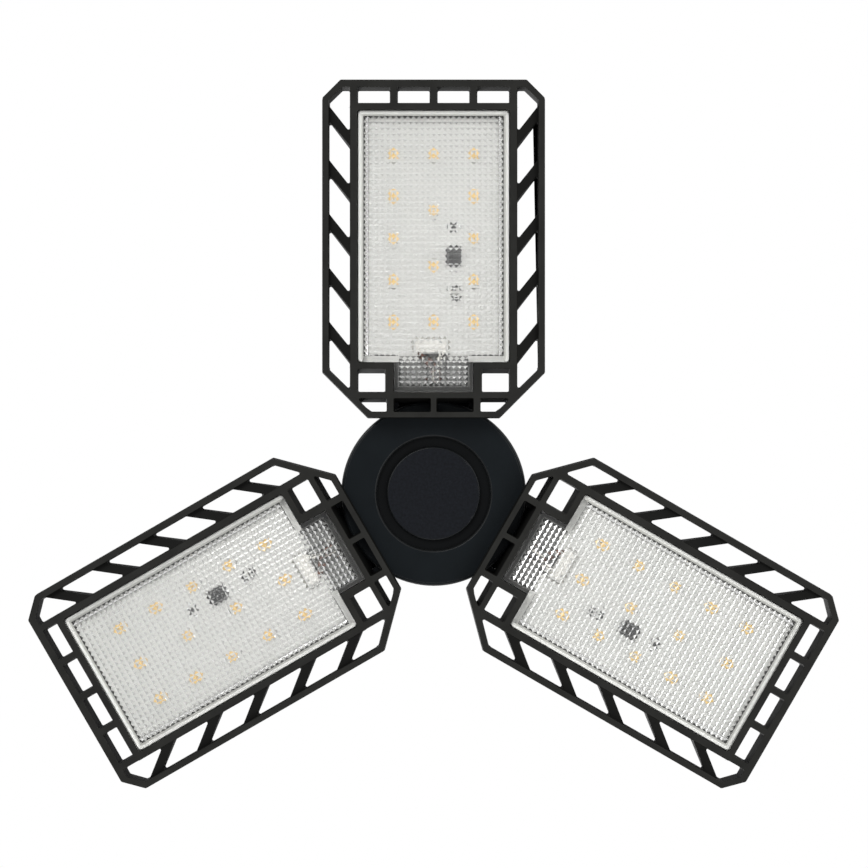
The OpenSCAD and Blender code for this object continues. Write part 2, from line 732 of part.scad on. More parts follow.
// Hinge arm: a knuckle with a flange that is screwed to the heat sink
module hinge_arm(i) {
    slope_y = hinge_r + arm_len * 0.42;
    at_panel(i) color(BLACK) difference() {
        translate([-knuckle_x, 0, 0]) rotate([90, 0, 90]) linear_extrude(knuckle_len) {
            translate([hinge_r, hinge_z]) circle(knuckle_r);
            polygon([[hinge_r, plate_back_z], [hinge_r + arm_len, plate_back_z],
                [hinge_r + arm_len, arm_top_z], [slope_y, arm_top_z],
                [hinge_r + knuckle_r * 0.8, hinge_z + knuckle_r * 0.6],
                [hinge_r, hinge_z + knuckle_r * 0.6]]);
        }
        rod_x(pivot_r + run_gap, -knuckle_x - overrun, -knuckle_x + pivot_grip + fit_gap);
        rod_x(bush_r + run_gap, bush_in_x - overrun, knuckle_x + overrun);
        block([cavity_x, hinge_r - bush_r, hinge_z - bush_r],
            [bush_in_x, hinge_r + bush_r, hinge_z + bush_r]);
        translate([wire_hole_x, wire_hole_y, 0]) rod_z(wire_hole_r, plate_back_z - overrun, hinge_z);
        block([cavity_x, hinge_r, hinge_z - bush_r * 1.2],
            [bush_in_x, wire_hole_y + wire_hole_r * 0.4, hinge_z + wire_r * 2]);
        for (x = [-1, 1] * arm_screw_x, y = arm_screw_y)
            translate([x, y, 0]) rod_z(screw_r, plate_back_z - overrun, arm_top_z + overrun);
    }
}

module arm_screws(i) {
    shank = arm_t + plate_t + pedestal_h * 0.6;
    at_panel(i) color(STEEL) for (x = [-1, 1] * arm_screw_x, y = arm_screw_y)
        translate([x, y, arm_top_z]) screw(screw_r, shank, screw_head_r, screw_head_h);
}

// Panel frame

module soft_outline(points, inset) {
    offset(r = cell_fillet, $fn = mesh_fn) offset(delta = -cell_fillet - inset) polygon(points);
}

// A tapered opening; lean moves its outer wall towards the hub at the back
module cell(points, lean) {
    low = min([for (p = points) p[1]]);
    high = max([for (p = points) p[1]]);
    hull() {
        translate([0, 0, frame_front_z - overrun]) linear_extrude(overrun) soft_outline(points, 0);
        translate([0, low, frame_back_z]) linear_extrude(overrun)
            scale([1, (high - low - lean) / (high - low)])
                translate([0, -low]) soft_outline(points, wall_draft);
    }
}

module cell_pair(points, lean) {
    for (side = [-1, 1]) cell([for (p = points) [side * p[0], p[1]]], lean);
}

function rectangle(x1, y1, x2, y2) = [[x1, y1], [x2, y1], [x2, y2], [x1, y2]];

module panel_outline(inset) {
    half = [[ring_x - outer_cut, outer_y], [ring_x, outer_y - outer_cut],
        [ring_x, hub_edge_y + hub_cut], [ring_x - hub_cut, hub_edge_y]];
    offset(r = outline_round, $fn = mesh_fn) offset(delta = -outline_round - inset)
        polygon(concat(half, [for (k = [3 : -1 : 0]) [-half[k][0], half[k][1]]]));
}

module outer_row_cells() {
    for (k = [0 : outer_cells - 1]) {
        x = (k - (outer_cells - 1) / 2) * rib_pitch;
        w = (rib_pitch - outer_rib) / 2;
        cell(rectangle(x - w, outer_row_y, x + w, outer_row_out_y), lean_end);
    }
}

module side_cells() {
    half = fin_t / 2;
    corner_sum = ring_x + outer_y - outer_cut - corner_bar;
    last = fin_count - 1;
    hub_line = hub_edge_y + hub_cut - ring_x + corner_bar;
    cell_pair([[core_out_x, outer_row_out_y], [corner_sum - outer_row_out_y, outer_row_out_y],
        [ring_in_x, corner_sum - ring_in_x], [ring_in_x, fin_y(0, ring_in_x) + half],
        [core_out_x, fin_y(0, core_out_x) + half]], lean_end);
    for (n = [0 : last - 1])
        cell_pair([[core_out_x, fin_y(n, core_out_x) - half], [ring_in_x, fin_y(n, ring_in_x) - half],
            [ring_in_x, fin_y(n + 1, ring_in_x) + half], [core_out_x, fin_y(n + 1, core_out_x) + half]],
            lean_end);
    cell_pair([[core_out_x, fin_y(last, core_out_x) - half], [ring_in_x, fin_y(last, ring_in_x) - half],
        [ring_in_x, ring_in_x + hub_line], [core_out_x, core_out_x + hub_line]], lean_end);
}

module hub_cells() {
    hub_line = hub_edge_y + hub_cut - ring_x + corner_bar;
    cell_pair(rectangle(tongue_x + post_bar, cross_out_y, core_x, notch_y), lean_hub);
    cell_pair([[tongue_x + hub_post, hub_row_y], [hub_row_y - hub_line, hub_row_y],
        [cross_y - hub_line, cross_y], [tongue_x + hub_post, cross_y]], lean_hub);
    cell_pair(rectangle(hub_rib / 2, hub_row_y, tongue_x, cross_y), lean_hub);
}

// The fins lie behind the front, and taper in depth from the core to the ring
module fin_wedges() {
    low_y = ring_in_x + hub_edge_y + hub_cut - ring_x + corner_bar + outline_round;
    high_y = outer_row_out_y - outer_cut;
    for (side = [-1, 1]) scale([side, 1, 1]) translate([0, high_y, 0]) rotate([90, 0, 0])
        linear_extrude(high_y - low_y) {
            polygon([[core_out_x, frame_front_z - overrun], [ring_in_x, frame_front_z - overrun],
                [ring_in_x, frame_front_z + fin_recess], [core_out_x, frame_front_z + fin_step]]);
            polygon([[core_out_x, frame_back_z + overrun], [ring_in_x, frame_back_z + overrun],
                [ring_in_x, frame_back_z - fin_recess], [core_out_x, frame_back_z]]);
        }
}

module lens_window() {
    translate([0, 0, frame_front_z - overrun]) linear_extrude(frame_depth + 2 * overrun) {
        offset(r = lens_corner, $fn = 4 * mesh_fn) offset(delta = -lens_corner)
            polygon(rectangle(-core_x, lens_y - lens_gap, core_x, end_y));
        polygon(rectangle(-tongue_x, cross_out_y, tongue_x, lens_y + lens_corner));
    }
}

// Corners of the lens window, where gussets take the screws of the heat sink
module at_gussets() {
    for (side = [-1, 1], y = [[lens_y - lens_gap, 1], [end_y, -1]])
        translate([side * core_x, y[0], 0]) scale([-side, y[1], 1]) children();
}

module panel_frame(i) {
    at_panel(i) color(BLACK) {
        difference() {
            hull() {
                translate([0, 0, frame_front_z]) linear_extrude(wall_draft) panel_outline(wall_draft);
                translate([0, 0, frame_back_z - wall_draft]) linear_extrude(wall_draft) panel_outline(0);
            }
            outer_row_cells();
            side_cells();
            hub_cells();
            fin_wedges();
            lens_window();
        }
        difference() {
            at_gussets() block([-core_bar / 2, -core_bar / 2, seat_z], [gusset, gusset, frame_back_z]);
            at_gussets() translate([gusset_in, gusset_in, 0])
                rod_z(screw_r + run_gap, seat_z - overrun, frame_back_z + overrun);
        }
    }
}

module frame_screws(i) {
    at_panel(i) color(STEEL) at_gussets() translate([gusset_in, gusset_in, plate_back_z])
        screw(screw_r, plate_t + pedestal_h * 0.9, screw_head_r, screw_head_h);
}

// Heat sink

module heat_sink(i) {
    pitch = 2 * (plate_x - fin_edge) / (sink_fins - 1);
    at_panel(i) color(ALUMINIUM) difference() {
        union() {
            block([-plate_x, plate_y, frame_back_z], [plate_x, plate_out_y, plate_back_z]);
            block([-plate_tongue_x, plate_tongue_y, frame_back_z],
                [plate_tongue_x, plate_y + overrun, plate_back_z]);
            block([-board_x, board_y, seat_z], [board_x, board_out_y, frame_back_z + overrun]);
            block([-tongue_w / 2 + fit_gap, tongue_y + fit_gap, seat_z],
                [tongue_w / 2 - fit_gap, board_y + overrun, frame_back_z + overrun]);
            for (k = [0 : sink_fins - 1]) {
                x = (k - (sink_fins - 1) / 2) * pitch;
                block([x - sink_fin_t / 2, sink_fin_y, plate_back_z - overrun],
                    [x + sink_fin_t / 2, sink_fin_out_y, plate_back_z + sink_fin_h]);
            }
        }
        at_gussets() block([-core_bar, -core_bar, seat_z - overrun],
            [gusset + fit_gap, gusset + fit_gap, frame_back_z]);
        at_gussets() translate([gusset_in, gusset_in, 0]) rod_z(screw_r, seat_z, plate_back_z + overrun);
        translate([wire_hole_x, wire_hole_y, 0]) rod_z(wire_hole_r, seat_z - overrun, plate_back_z + overrun);
        for (x = [-1, 1] * arm_screw_x, y = arm_screw_y) translate([x, y, 0])
            rod_z(screw_r, frame_back_z - pedestal_h * 0.7, plate_back_z + overrun);
    }
}

module thermal_pad(i) {
    x = board_x - pad_margin - gusset;
    at_panel(i) color("#c7ccd4") block([-x, board_y + wire_notch[1] + pad_margin, pad_front_z],
        [x, board_out_y - pad_margin, seat_z]);
}

// LED board and its parts

module led_board(i) {
    at_panel(i) color(WHITE) difference() {
        round_plate([-board_x, board_y, board_front_z], [board_x, board_out_y, pad_front_z], lens_corner);
        block([-wire_notch[0] / 2, board_y - overrun, board_front_z - overrun],
            [wire_notch[0] / 2, board_y + wire_notch[1], pad_front_z + overrun]);
    }
}

module led() {
    body_h = led_h * 0.9;
    translate([-led_w / 2, -led_l / 2, -body_h]) cube([led_w, led_l, body_h]);
    rod_z(led_w * 0.38, -led_h, -led_h / 2);
}

module leds(i) {
    first_y = lens_out_y - led_start;
    at_panel(i) color(AMBER) translate([0, 0, board_front_z]) {
        for (side = [-1, 1], k = [0 : side_leds - 1])
            translate([side * led_column, first_y - k * led_span / (side_leds - 1), 0]) led();
        for (k = [0 : mid_leds - 1]) translate([0, first_y - k * led_span / (mid_leds - 1), 0]) led();
    }
}

module driver_chip(i) {
    at_panel(i) color("#232325") translate([chip_x, chip_y, board_front_z]) {
        translate([-chip_w / 2, -chip_l / 2, -chip_h]) cube([chip_w, chip_l, chip_h]);
        for (end = [-1, 1], k = [0 : chip_pins - 1]) {
            x = (k - (chip_pins - 1) / 2) * chip_w / chip_pins;
            y = end * (chip_l + pin_l) / 2;
            translate([x - pin_w / 2, y - pin_l / 2, -pin_t]) cube([pin_w, pin_l, pin_t]);
        }
    }
}

module chip_resistors(i) {
    first_y = lens_out_y - led_start;
    at_panel(i) color("#4a4a46") for (share = chip_part_shares)
        translate([chip_x + share[0] * led_column, first_y - share[1] * led_span, board_front_z])
            translate([-chip_part_l / 2, -chip_part_w / 2, -chip_part_h])
                cube([chip_part_l, chip_part_w, chip_part_h]);
}

module wire_connector(i) {
    at_panel(i) color(WHITE)
        translate([plug_x - plug_w / 2, plug_y - plug_l / 2, board_front_z - plug_h])
            cube([plug_w, plug_l, plug_h]);
}

// The pair runs from the connector over the tongue's floor, up through the arm and into the bush
module panel_wires(i) {
    plug_z = board_front_z - plug_h / 2;
    start_y = plug_y - plug_l / 2 - fit_gap / 2;
    meet_x = knuckle_x + side_gap / 2 - fit_gap / 2;
    side_step = wire_hole_r * 0.45;
    for (side = [-1, 1]) at_panel(i) color(side > 0 ? BROWN : WHITE) {
        d = side * wire_pair;
        start_x = plug_x + side * plug_w * 0.31;
        hole_x = wire_hole_x + side * side_step;
        wire([[start_x, start_y, plug_z],
            [start_x, start_y - wire_r, plug_z],
            [start_x, start_y - 2 * wire_r, plug_z],
            [start_x * 0.4 + hole_x * 0.6, lens_y, (plug_z + wire_floor_z) / 2],
            [hole_x, wire_hole_y + 2 * wire_hole_r, wire_floor_z],
            [hole_x, wire_hole_y + wire_hole_r * 0.3, seat_z - wire_r * 0.8],
            [hole_x, wire_hole_y, frame_back_z],
            [hole_x, wire_hole_y - wire_hole_r * 0.1, plate_back_z],
            [hole_x, wire_hole_y - wire_hole_r * 0.3, (plate_back_z + hinge_z) / 2 - d],
            [(wire_hole_x + bush_in_x) / 2, (hinge_r + wire_hole_y) / 2, hinge_z - wire_r - d],
            [bush_in_x * 0.8, hinge_r + wire_r / 2, hinge_z - d],
            [bush_in_x + wire_r, hinge_r, hinge_z - d],
            [(bush_in_x + meet_x) / 2, hinge_r, hinge_z - d],
            [meet_x, hinge_r, hinge_z - d]], wire_r, [1, 1, 1]);
    }
}

// Lens: an open tray with a tongue that reaches over the wires
module lens(i) {
    at_panel(i) color([0.86, 0.87, 0.86, 0.5]) difference() {
        union() {
            round_plate([-lens_w / 2, lens_y, lens_front_z], [lens_w / 2, lens_out_y, board_front_z],
                lens_corner);
            block([-tongue_w / 2, tongue_y, lens_front_z], [tongue_w / 2, lens_y + lens_corner, seat_z]);
            for (x = [-1, 0, 1] * (tongue_w / 2 - snap_w))
                block([x - snap_w / 2, tongue_y - tongue_gap + lens_gap, lens_front_z],
                    [x + snap_w / 2, tongue_y + lens_wall / 2, lens_back_z]);
        }
        block([-lens_w / 2 + lens_wall, lens_y + lens_wall, lens_back_z],
            [lens_w / 2 - lens_wall, lens_out_y - lens_wall, seat_z + overrun]);
        block([-tongue_w / 2 + lens_wall, tongue_y + lens_wall, lens_back_z],
            [tongue_w / 2 - lens_wall, lens_y + 2 * lens_wall, seat_z + overrun]);
        block([-lens_w / 2, board_y - overrun / 2, board_front_z],
            [lens_w / 2, lens_out_y, seat_z + overrun]);
    }
}

screw_shell();
base_insulator();
base_contact();
hub_neck();
hub_housing();
hub_cover();
centre_cap();
driver_board();
rectifier();
bulk_capacitor();
film_capacitor();
fuse_resistor();
surge_disc();
output_connectors();
input_wires();
output_wires();
cover_screws();
hinge_screws();
hinge_washers();
hinge_bushes();

for (i = PANELS) {
    panel_frame(i);
    heat_sink(i);
    hinge_arm(i);
    arm_screws(i);
    frame_screws(i);
    thermal_pad(i);
    led_board(i);
    leds(i);
    driver_chip(i);
    chip_resistors(i);
    wire_connector(i);
    panel_wires(i);
    lens(i);
}
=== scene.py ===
"""Looks of the folding LED high bay lamp: detailed pieces, materials, lights and camera.

Shapes are in millimetres, in the part's frame: Z is up and is the hub's axis, and panel 1 lies
along Y. What belongs to a panel is built for panel 1, and turned copies serve the other two.
"""
import math

import bmesh
import bpy
from mathutils import Matrix, Vector


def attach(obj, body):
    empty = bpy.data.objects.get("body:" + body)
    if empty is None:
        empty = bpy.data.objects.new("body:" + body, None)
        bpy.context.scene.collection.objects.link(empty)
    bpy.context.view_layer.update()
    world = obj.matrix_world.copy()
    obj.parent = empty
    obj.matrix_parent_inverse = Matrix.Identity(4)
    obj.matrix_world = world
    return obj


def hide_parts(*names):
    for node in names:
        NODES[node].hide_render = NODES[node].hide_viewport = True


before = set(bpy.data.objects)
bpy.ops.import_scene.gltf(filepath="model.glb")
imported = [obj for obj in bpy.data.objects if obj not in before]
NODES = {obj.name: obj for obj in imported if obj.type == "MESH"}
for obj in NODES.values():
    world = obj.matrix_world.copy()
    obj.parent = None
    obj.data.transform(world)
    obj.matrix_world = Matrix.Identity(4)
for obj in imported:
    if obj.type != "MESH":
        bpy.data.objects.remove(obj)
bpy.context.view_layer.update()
scene = bpy.context.scene

MM = 0.001
PANELS = (1, 2, 3)
TURN = math.radians(120)


# Sizes shared with the part's source: the screw base and the neck

SKIRT_R, SKIRT_H = 13.1, 5.0
THREAD_DEPTH, THREAD_TURNS, SHELL_WALL = 1.0, 3.25, 0.35
SHELL_TOP_Z, CONE_TOP_Z = 16.8, 19.8
INSULATOR_R, INSULATOR_H = 8.6, 3.2
CONTACT_R, CONTACT_H = 4.7, 1.8
NECK_R, NECK_H, NECK_IN_R = 15.6, 14.0, 13.5
SPIGOT_R, SPIGOT_IN_R = 11.4, 9.8

# The hub, its hinges and its driver board

HUB_R, HINGE_R, HINGE_Z = 30.5, 36.0, -40.0
BUSH_BORE_R, BUSH_IN_X, KNUCKLE_X, CHANNEL_X = 1.9, 7.44, 12.0, 13.94
WIRE_R, WIRE_PAIR = 0.55, 0.65
DRIVER_Z, DRIVER_TOP_Z, PART_RING = -35.4, -33.8, 14.5
RECTIFIER_SIZE, RECTIFIER_TURN = (8.6, 6.5, 3.2), 0
BULK_R, BULK_H = 5.0, 14.0
FILM_SIZE, FILM_TURN = (11.0, 5.0, 8.5), 120
FUSE_R, FUSE_H, FUSE_TURN = 1.9, 9.0, -102
DISC_R, DISC_T, DISC_TURN = 3.6, 3.4, -135
HEADER_SIZE, HEADER_Y = (6.4, 5.0, 3.4), 16.6

# The panel, its LED board and its lens

BOARD_FRONT_Z, SEAT_Z, FRAME_BACK_Z, PLATE_BACK_Z = -50.4, -49.2, -47.0, -45.4
LENS_BACK_Z, TONGUE_Y = -53.6, 36.1
LENS_X, LENS_Y, LENS_OUT_Y = 26.5, 46.0, 134.0
LED_W, LED_L, LED_H = 2.8, 3.5, 0.8
LED_COLUMN, LED_FIRST_Y, LED_SPAN = 14.2, 118.9, 58.7
CHIP_X, CHIP_Y, CHIP_W, CHIP_L, CHIP_H = -7.1, 83.09, 5.0, 6.0, 1.6
RESISTORS = ((-6.816, 93.659), (-7.526, 71.94), (-7.952, 68.418))
PLUG_X, PLUG_Y, PLUG_W, PLUG_L, PLUG_H = 0.9, 51.75, 10.8, 4.2, 2.72
HOLE_X, HOLE_Y, HOLE_R = -0.9, 40.05, 1.8


# Sizes of what only this scene has: the lips, the driver board's tracks, the prisms and the seal

LIP_LOW_Z, LIP_HIGH_Z = -35.2, -33.6
LIP_X, LIP_Y, LIP_TAB_X, LIP_TAB_Y = 13.5, 31.8, 12.15, 33.2
TRACK_W = 1.3
TRACKS = (((-6.65, 0), (-10, 3), (-10, 12), (-5.0, 16)),
          ((6.65, 0), (10, 3), (10, 12), (5.0, 16)),
          ((2.2, -6.5), (2.2, -14), (9.5, -20.5)),
          ((-2.2, -6.5), (-2.2, -18), (-9, -20)),
          ((8.5, -3), (13, -6.5), (13, -9)),
          ((-8.2, -16.2), (-4, -12), (-4, -6)),
          ((-17, 1.5), (-19.5, 7), (-17, 13)))
PRISM_BASE_Z, PRISM_DEPTH, PRISM_PITCH = -52.6, 0.77, 2.0
FIELD_HALF, FIELD_FIRST_X, FIELD_LOW_Y, FIELD_HIGH_Y = 24.5, 23, 48.2, 132.1
TONGUE_HALF, TONGUE_LOW_Y, TONGUE_FIELD_L, TONGUE_PITCH = 12.12, 37.6, 10.6, 2.02
FIELD_X = (-FIELD_HALF, *[PRISM_PITCH * k - FIELD_FIRST_X for k in range(24)], FIELD_HALF)
FIELD_Y = (FIELD_LOW_Y, *[FIELD_HIGH_Y - PRISM_PITCH * k for k in range(41, -1, -1)])
TONGUE_FIELD_X = tuple(TONGUE_PITCH * k - TONGUE_HALF for k in range(13))
TONGUE_FIELD_Y = tuple(TONGUE_LOW_Y + TONGUE_FIELD_L * k / 6 for k in range(7))
SEAL_T = 0.1


# Camera: 1.3 m below the lenses' front and looking straight up, as in the photo

CAMERA_PLACE = (-0.00014, 0.02094, -1.356)
CAMERA_SENSOR, CAMERA_LENS, CAMERA_FAR = 36, 154.5, 200


def set_camera():
    data = bpy.data.cameras.new("photo_camera")
    camera = bpy.data.objects.new("photo_camera", data)
    scene.collection.objects.link(camera)
    camera.location = CAMERA_PLACE
    camera.rotation_euler = (0, math.pi, 0)
    data.sensor_width = CAMERA_SENSOR
    data.lens = CAMERA_LENS
    data.clip_end = CAMERA_FAR
    scene.camera = camera


# Node helpers

def add(tree, kind, **values):
    """A new node; a keyword sets the input of that name, and otherwise the node's property."""
    node = tree.nodes.new(kind)
    for key, value in values.items():
        socket = node.inputs.get(key.replace("_", " "))
        if socket is not None:
            socket.default_value = value
        else:
            setattr(node, key, value)
    return node


def mix_colour(tree, factor, a, b):
    """Mixes two colours or sockets, and returns the mixed colour's socket."""
    node = add(tree, "ShaderNodeMix", data_type="RGBA")
    for socket, value in ((node.inputs[0], factor), (node.inputs[6], a), (node.inputs[7], b)):
        if isinstance(value, bpy.types.NodeSocket):
            tree.links.new(value, socket)
        else:
            socket.default_value = value
    return node.outputs[2]


def ranged(tree, value, low, high, to_low, to_high):
    """A socket's value, taken from the range low to high into the range to_low to to_high."""
    node = add(tree, "ShaderNodeMapRange", From_Min=low, From_Max=high, To_Min=to_low,
               To_Max=to_high)
    tree.links.new(value, node.inputs["Value"])
    return node.outputs["Result"]


def place_on_object(tree):
    return add(tree, "ShaderNodeTexCoord").outputs["Object"]


def noise(tree, size, detail, roughness=0.5):
    """The value of a noise over the object, of the given size in millimetres."""
    node = add(tree, "ShaderNodeTexNoise", Scale=1 / (size * MM), Detail=detail,
               Roughness=roughness)
    tree.links.new(place_on_object(tree), node.inputs["Vector"])
    return node.outputs["Fac"]


def raise_by(tree, shader, height, strength, distance):
    """Makes a height of up to a distance in millimetres show as relief in a shader."""
    bump = add(tree, "ShaderNodeBump", Strength=strength, Distance=distance * MM)
    tree.links.new(height, bump.inputs["Height"])
    tree.links.new(bump.outputs["Normal"], shader.inputs["Normal"])


def new_material(name):
    """A new material, with its node tree and its shader."""
    mat = bpy.data.materials.new(name)
    mat.use_nodes = True
    return mat, mat.node_tree, mat.node_tree.nodes["Principled BSDF"]


# Materials

NOISE_LOW, NOISE_HIGH = 0.3, 0.7  # the span of the broad noise that shows
ROUGH_SPREAD, GRAIN_H = 0.08, 0.1
EDGE_MASK_R, EDGE_SPOT_LOW, EDGE_SPOT_HIGH = 0.35, 0.42, 0.62
EDGE_COS_LOW, EDGE_COS_HIGH = 0.72, 0.98  # between the rounded normal and the flat one
SUBSURFACE_RADIUS, SUBSURFACE_DEPTH = (1, 0.9, 0.8), 0.3
ACRYLIC_IOR, ACRYLIC_ROUGH = 1.49, (0.02, 0.06)
HAZE_SIZE, RIPPLE_SIZE, RIPPLE_H, RIPPLE_STRENGTH = 9, 4, 0.05, 0.04


def edge_mask(tree):
    """1 on the edges, 0 on flat faces."""
    bevel = add(tree, "ShaderNodeBevel", Radius=EDGE_MASK_R * MM, samples=4)
    flat = add(tree, "ShaderNodeNewGeometry")
    dot = add(tree, "ShaderNodeVectorMath", operation="DOT_PRODUCT")
    tree.links.new(bevel.outputs["Normal"], dot.inputs[0])
    tree.links.new(flat.outputs["Normal"], dot.inputs[1])
    return ranged(tree, dot.outputs["Value"], EDGE_COS_LOW, EDGE_COS_HIGH, 1.0, 0.0)


def surface(name, colour, rough, metallic=0.0, specular=0.5, tint=1.25, mottle=6.0, grain=0.5,
            bump=0.12, wear_and_highlight=None, painted_highlight_least=0.0, coat=0.0, subsurface=0.0, painted_recess_shade=None):
    """A procedural finish: broad mottling in colour and roughness, and fine grain as bump.

    Patches of the size mottle vary the colour by the factor tint. Edges take the edge colour: in
    spots of the grain's size it shows rubbed edges, and a least share set for the space between
    the spots paints a highlight along every edge. Two heights and a share, when given, paint
    shade: the colour darkens towards black behind the front.
    """
    mat, tree, shader = new_material(name)
    link = tree.links.new
    broad, fine = noise(tree, mottle, 5.0, 0.6), noise(tree, grain, 3.0, 0.55)
    lighter = (*(min(1.0, c * tint) for c in colour), 1)
    darker = (*(c / tint for c in colour), 1)
    base = mix_colour(tree, ranged(tree, broad, NOISE_LOW, NOISE_HIGH, 0.0, 1.0), darker, lighter)
    roughness = ranged(tree, broad, NOISE_LOW, NOISE_HIGH, rough - ROUGH_SPREAD,
                       rough + ROUGH_SPREAD)
    # Edge colour: rubbed spots, and where a least share is set a painted highlight along every
    # edge.
    if wear_and_highlight is not None:
        wear_and_highlight_mask = add(tree, "ShaderNodeMath", operation="MULTIPLY")
        link(edge_mask(tree), wear_and_highlight_mask.inputs[0])
        link(ranged(tree, fine, EDGE_SPOT_LOW, EDGE_SPOT_HIGH, painted_highlight_least, 1.0), wear_and_highlight_mask.inputs[1])
        base = mix_colour(tree, wear_and_highlight_mask.outputs[0], base, (*wear_and_highlight, 1))
    # Painted shade: the colour darkens with distance behind the front, as in shaded hollows.
    if painted_recess_shade is not None:
        front_z, deep_z, dark = painted_recess_shade
        split = add(tree, "ShaderNodeSeparateXYZ")
        link(place_on_object(tree), split.inputs[0])
        painted_shade = ranged(tree, split.outputs["Z"], front_z * MM, deep_z * MM, 0.0, dark)
        base = mix_colour(tree, painted_shade, base, (0, 0, 0, 1))
    link(base, shader.inputs["Base Color"])
    link(roughness, shader.inputs["Roughness"])
    raise_by(tree, shader, fine, bump, GRAIN_H)
    shader.inputs["Metallic"].default_value = metallic
    shader.inputs["Specular IOR Level"].default_value = specular
    shader.inputs["Coat Weight"].default_value = coat
    if subsurface:
        shader.inputs["Subsurface Weight"].default_value = subsurface
        shader.inputs["Subsurface Radius"].default_value = SUBSURFACE_RADIUS
        shader.inputs["Subsurface Scale"].default_value = SUBSURFACE_DEPTH * MM
    return mat


def clear_plastic(name):
    """Clear acrylic that lets the lamps through to what lies behind it."""
    mat, tree, shader = new_material(name)
    link = tree.links.new
    haze, ripple = noise(tree, HAZE_SIZE, 3.0), noise(tree, RIPPLE_SIZE, 2.0)
    link(ranged(tree, haze, NOISE_LOW, NOISE_HIGH, *ACRYLIC_ROUGH), shader.inputs["Roughness"])
    link(mix_colour(tree, haze, (0.97, 0.98, 0.965, 1), (1, 1, 0.99, 1)),
         shader.inputs["Base Color"])
    raise_by(tree, shader, ripple, RIPPLE_STRENGTH, RIPPLE_H)
    shader.inputs["Transmission Weight"].default_value = 1.0
    shader.inputs["IOR"].default_value = ACRYLIC_IOR
    through = add(tree, "ShaderNodeBsdfTransparent", Color=(0.97, 0.97, 0.96, 1))
    path = add(tree, "ShaderNodeLightPath")
    mixed = add(tree, "ShaderNodeMixShader")
    link(path.outputs["Is Shadow Ray"], mixed.inputs[0])
    link(shader.outputs[0], mixed.inputs[1])
    link(through.outputs[0], mixed.inputs[2])
    link(mixed.outputs[0], tree.nodes["Material Output"].inputs["Surface"])
    return mat


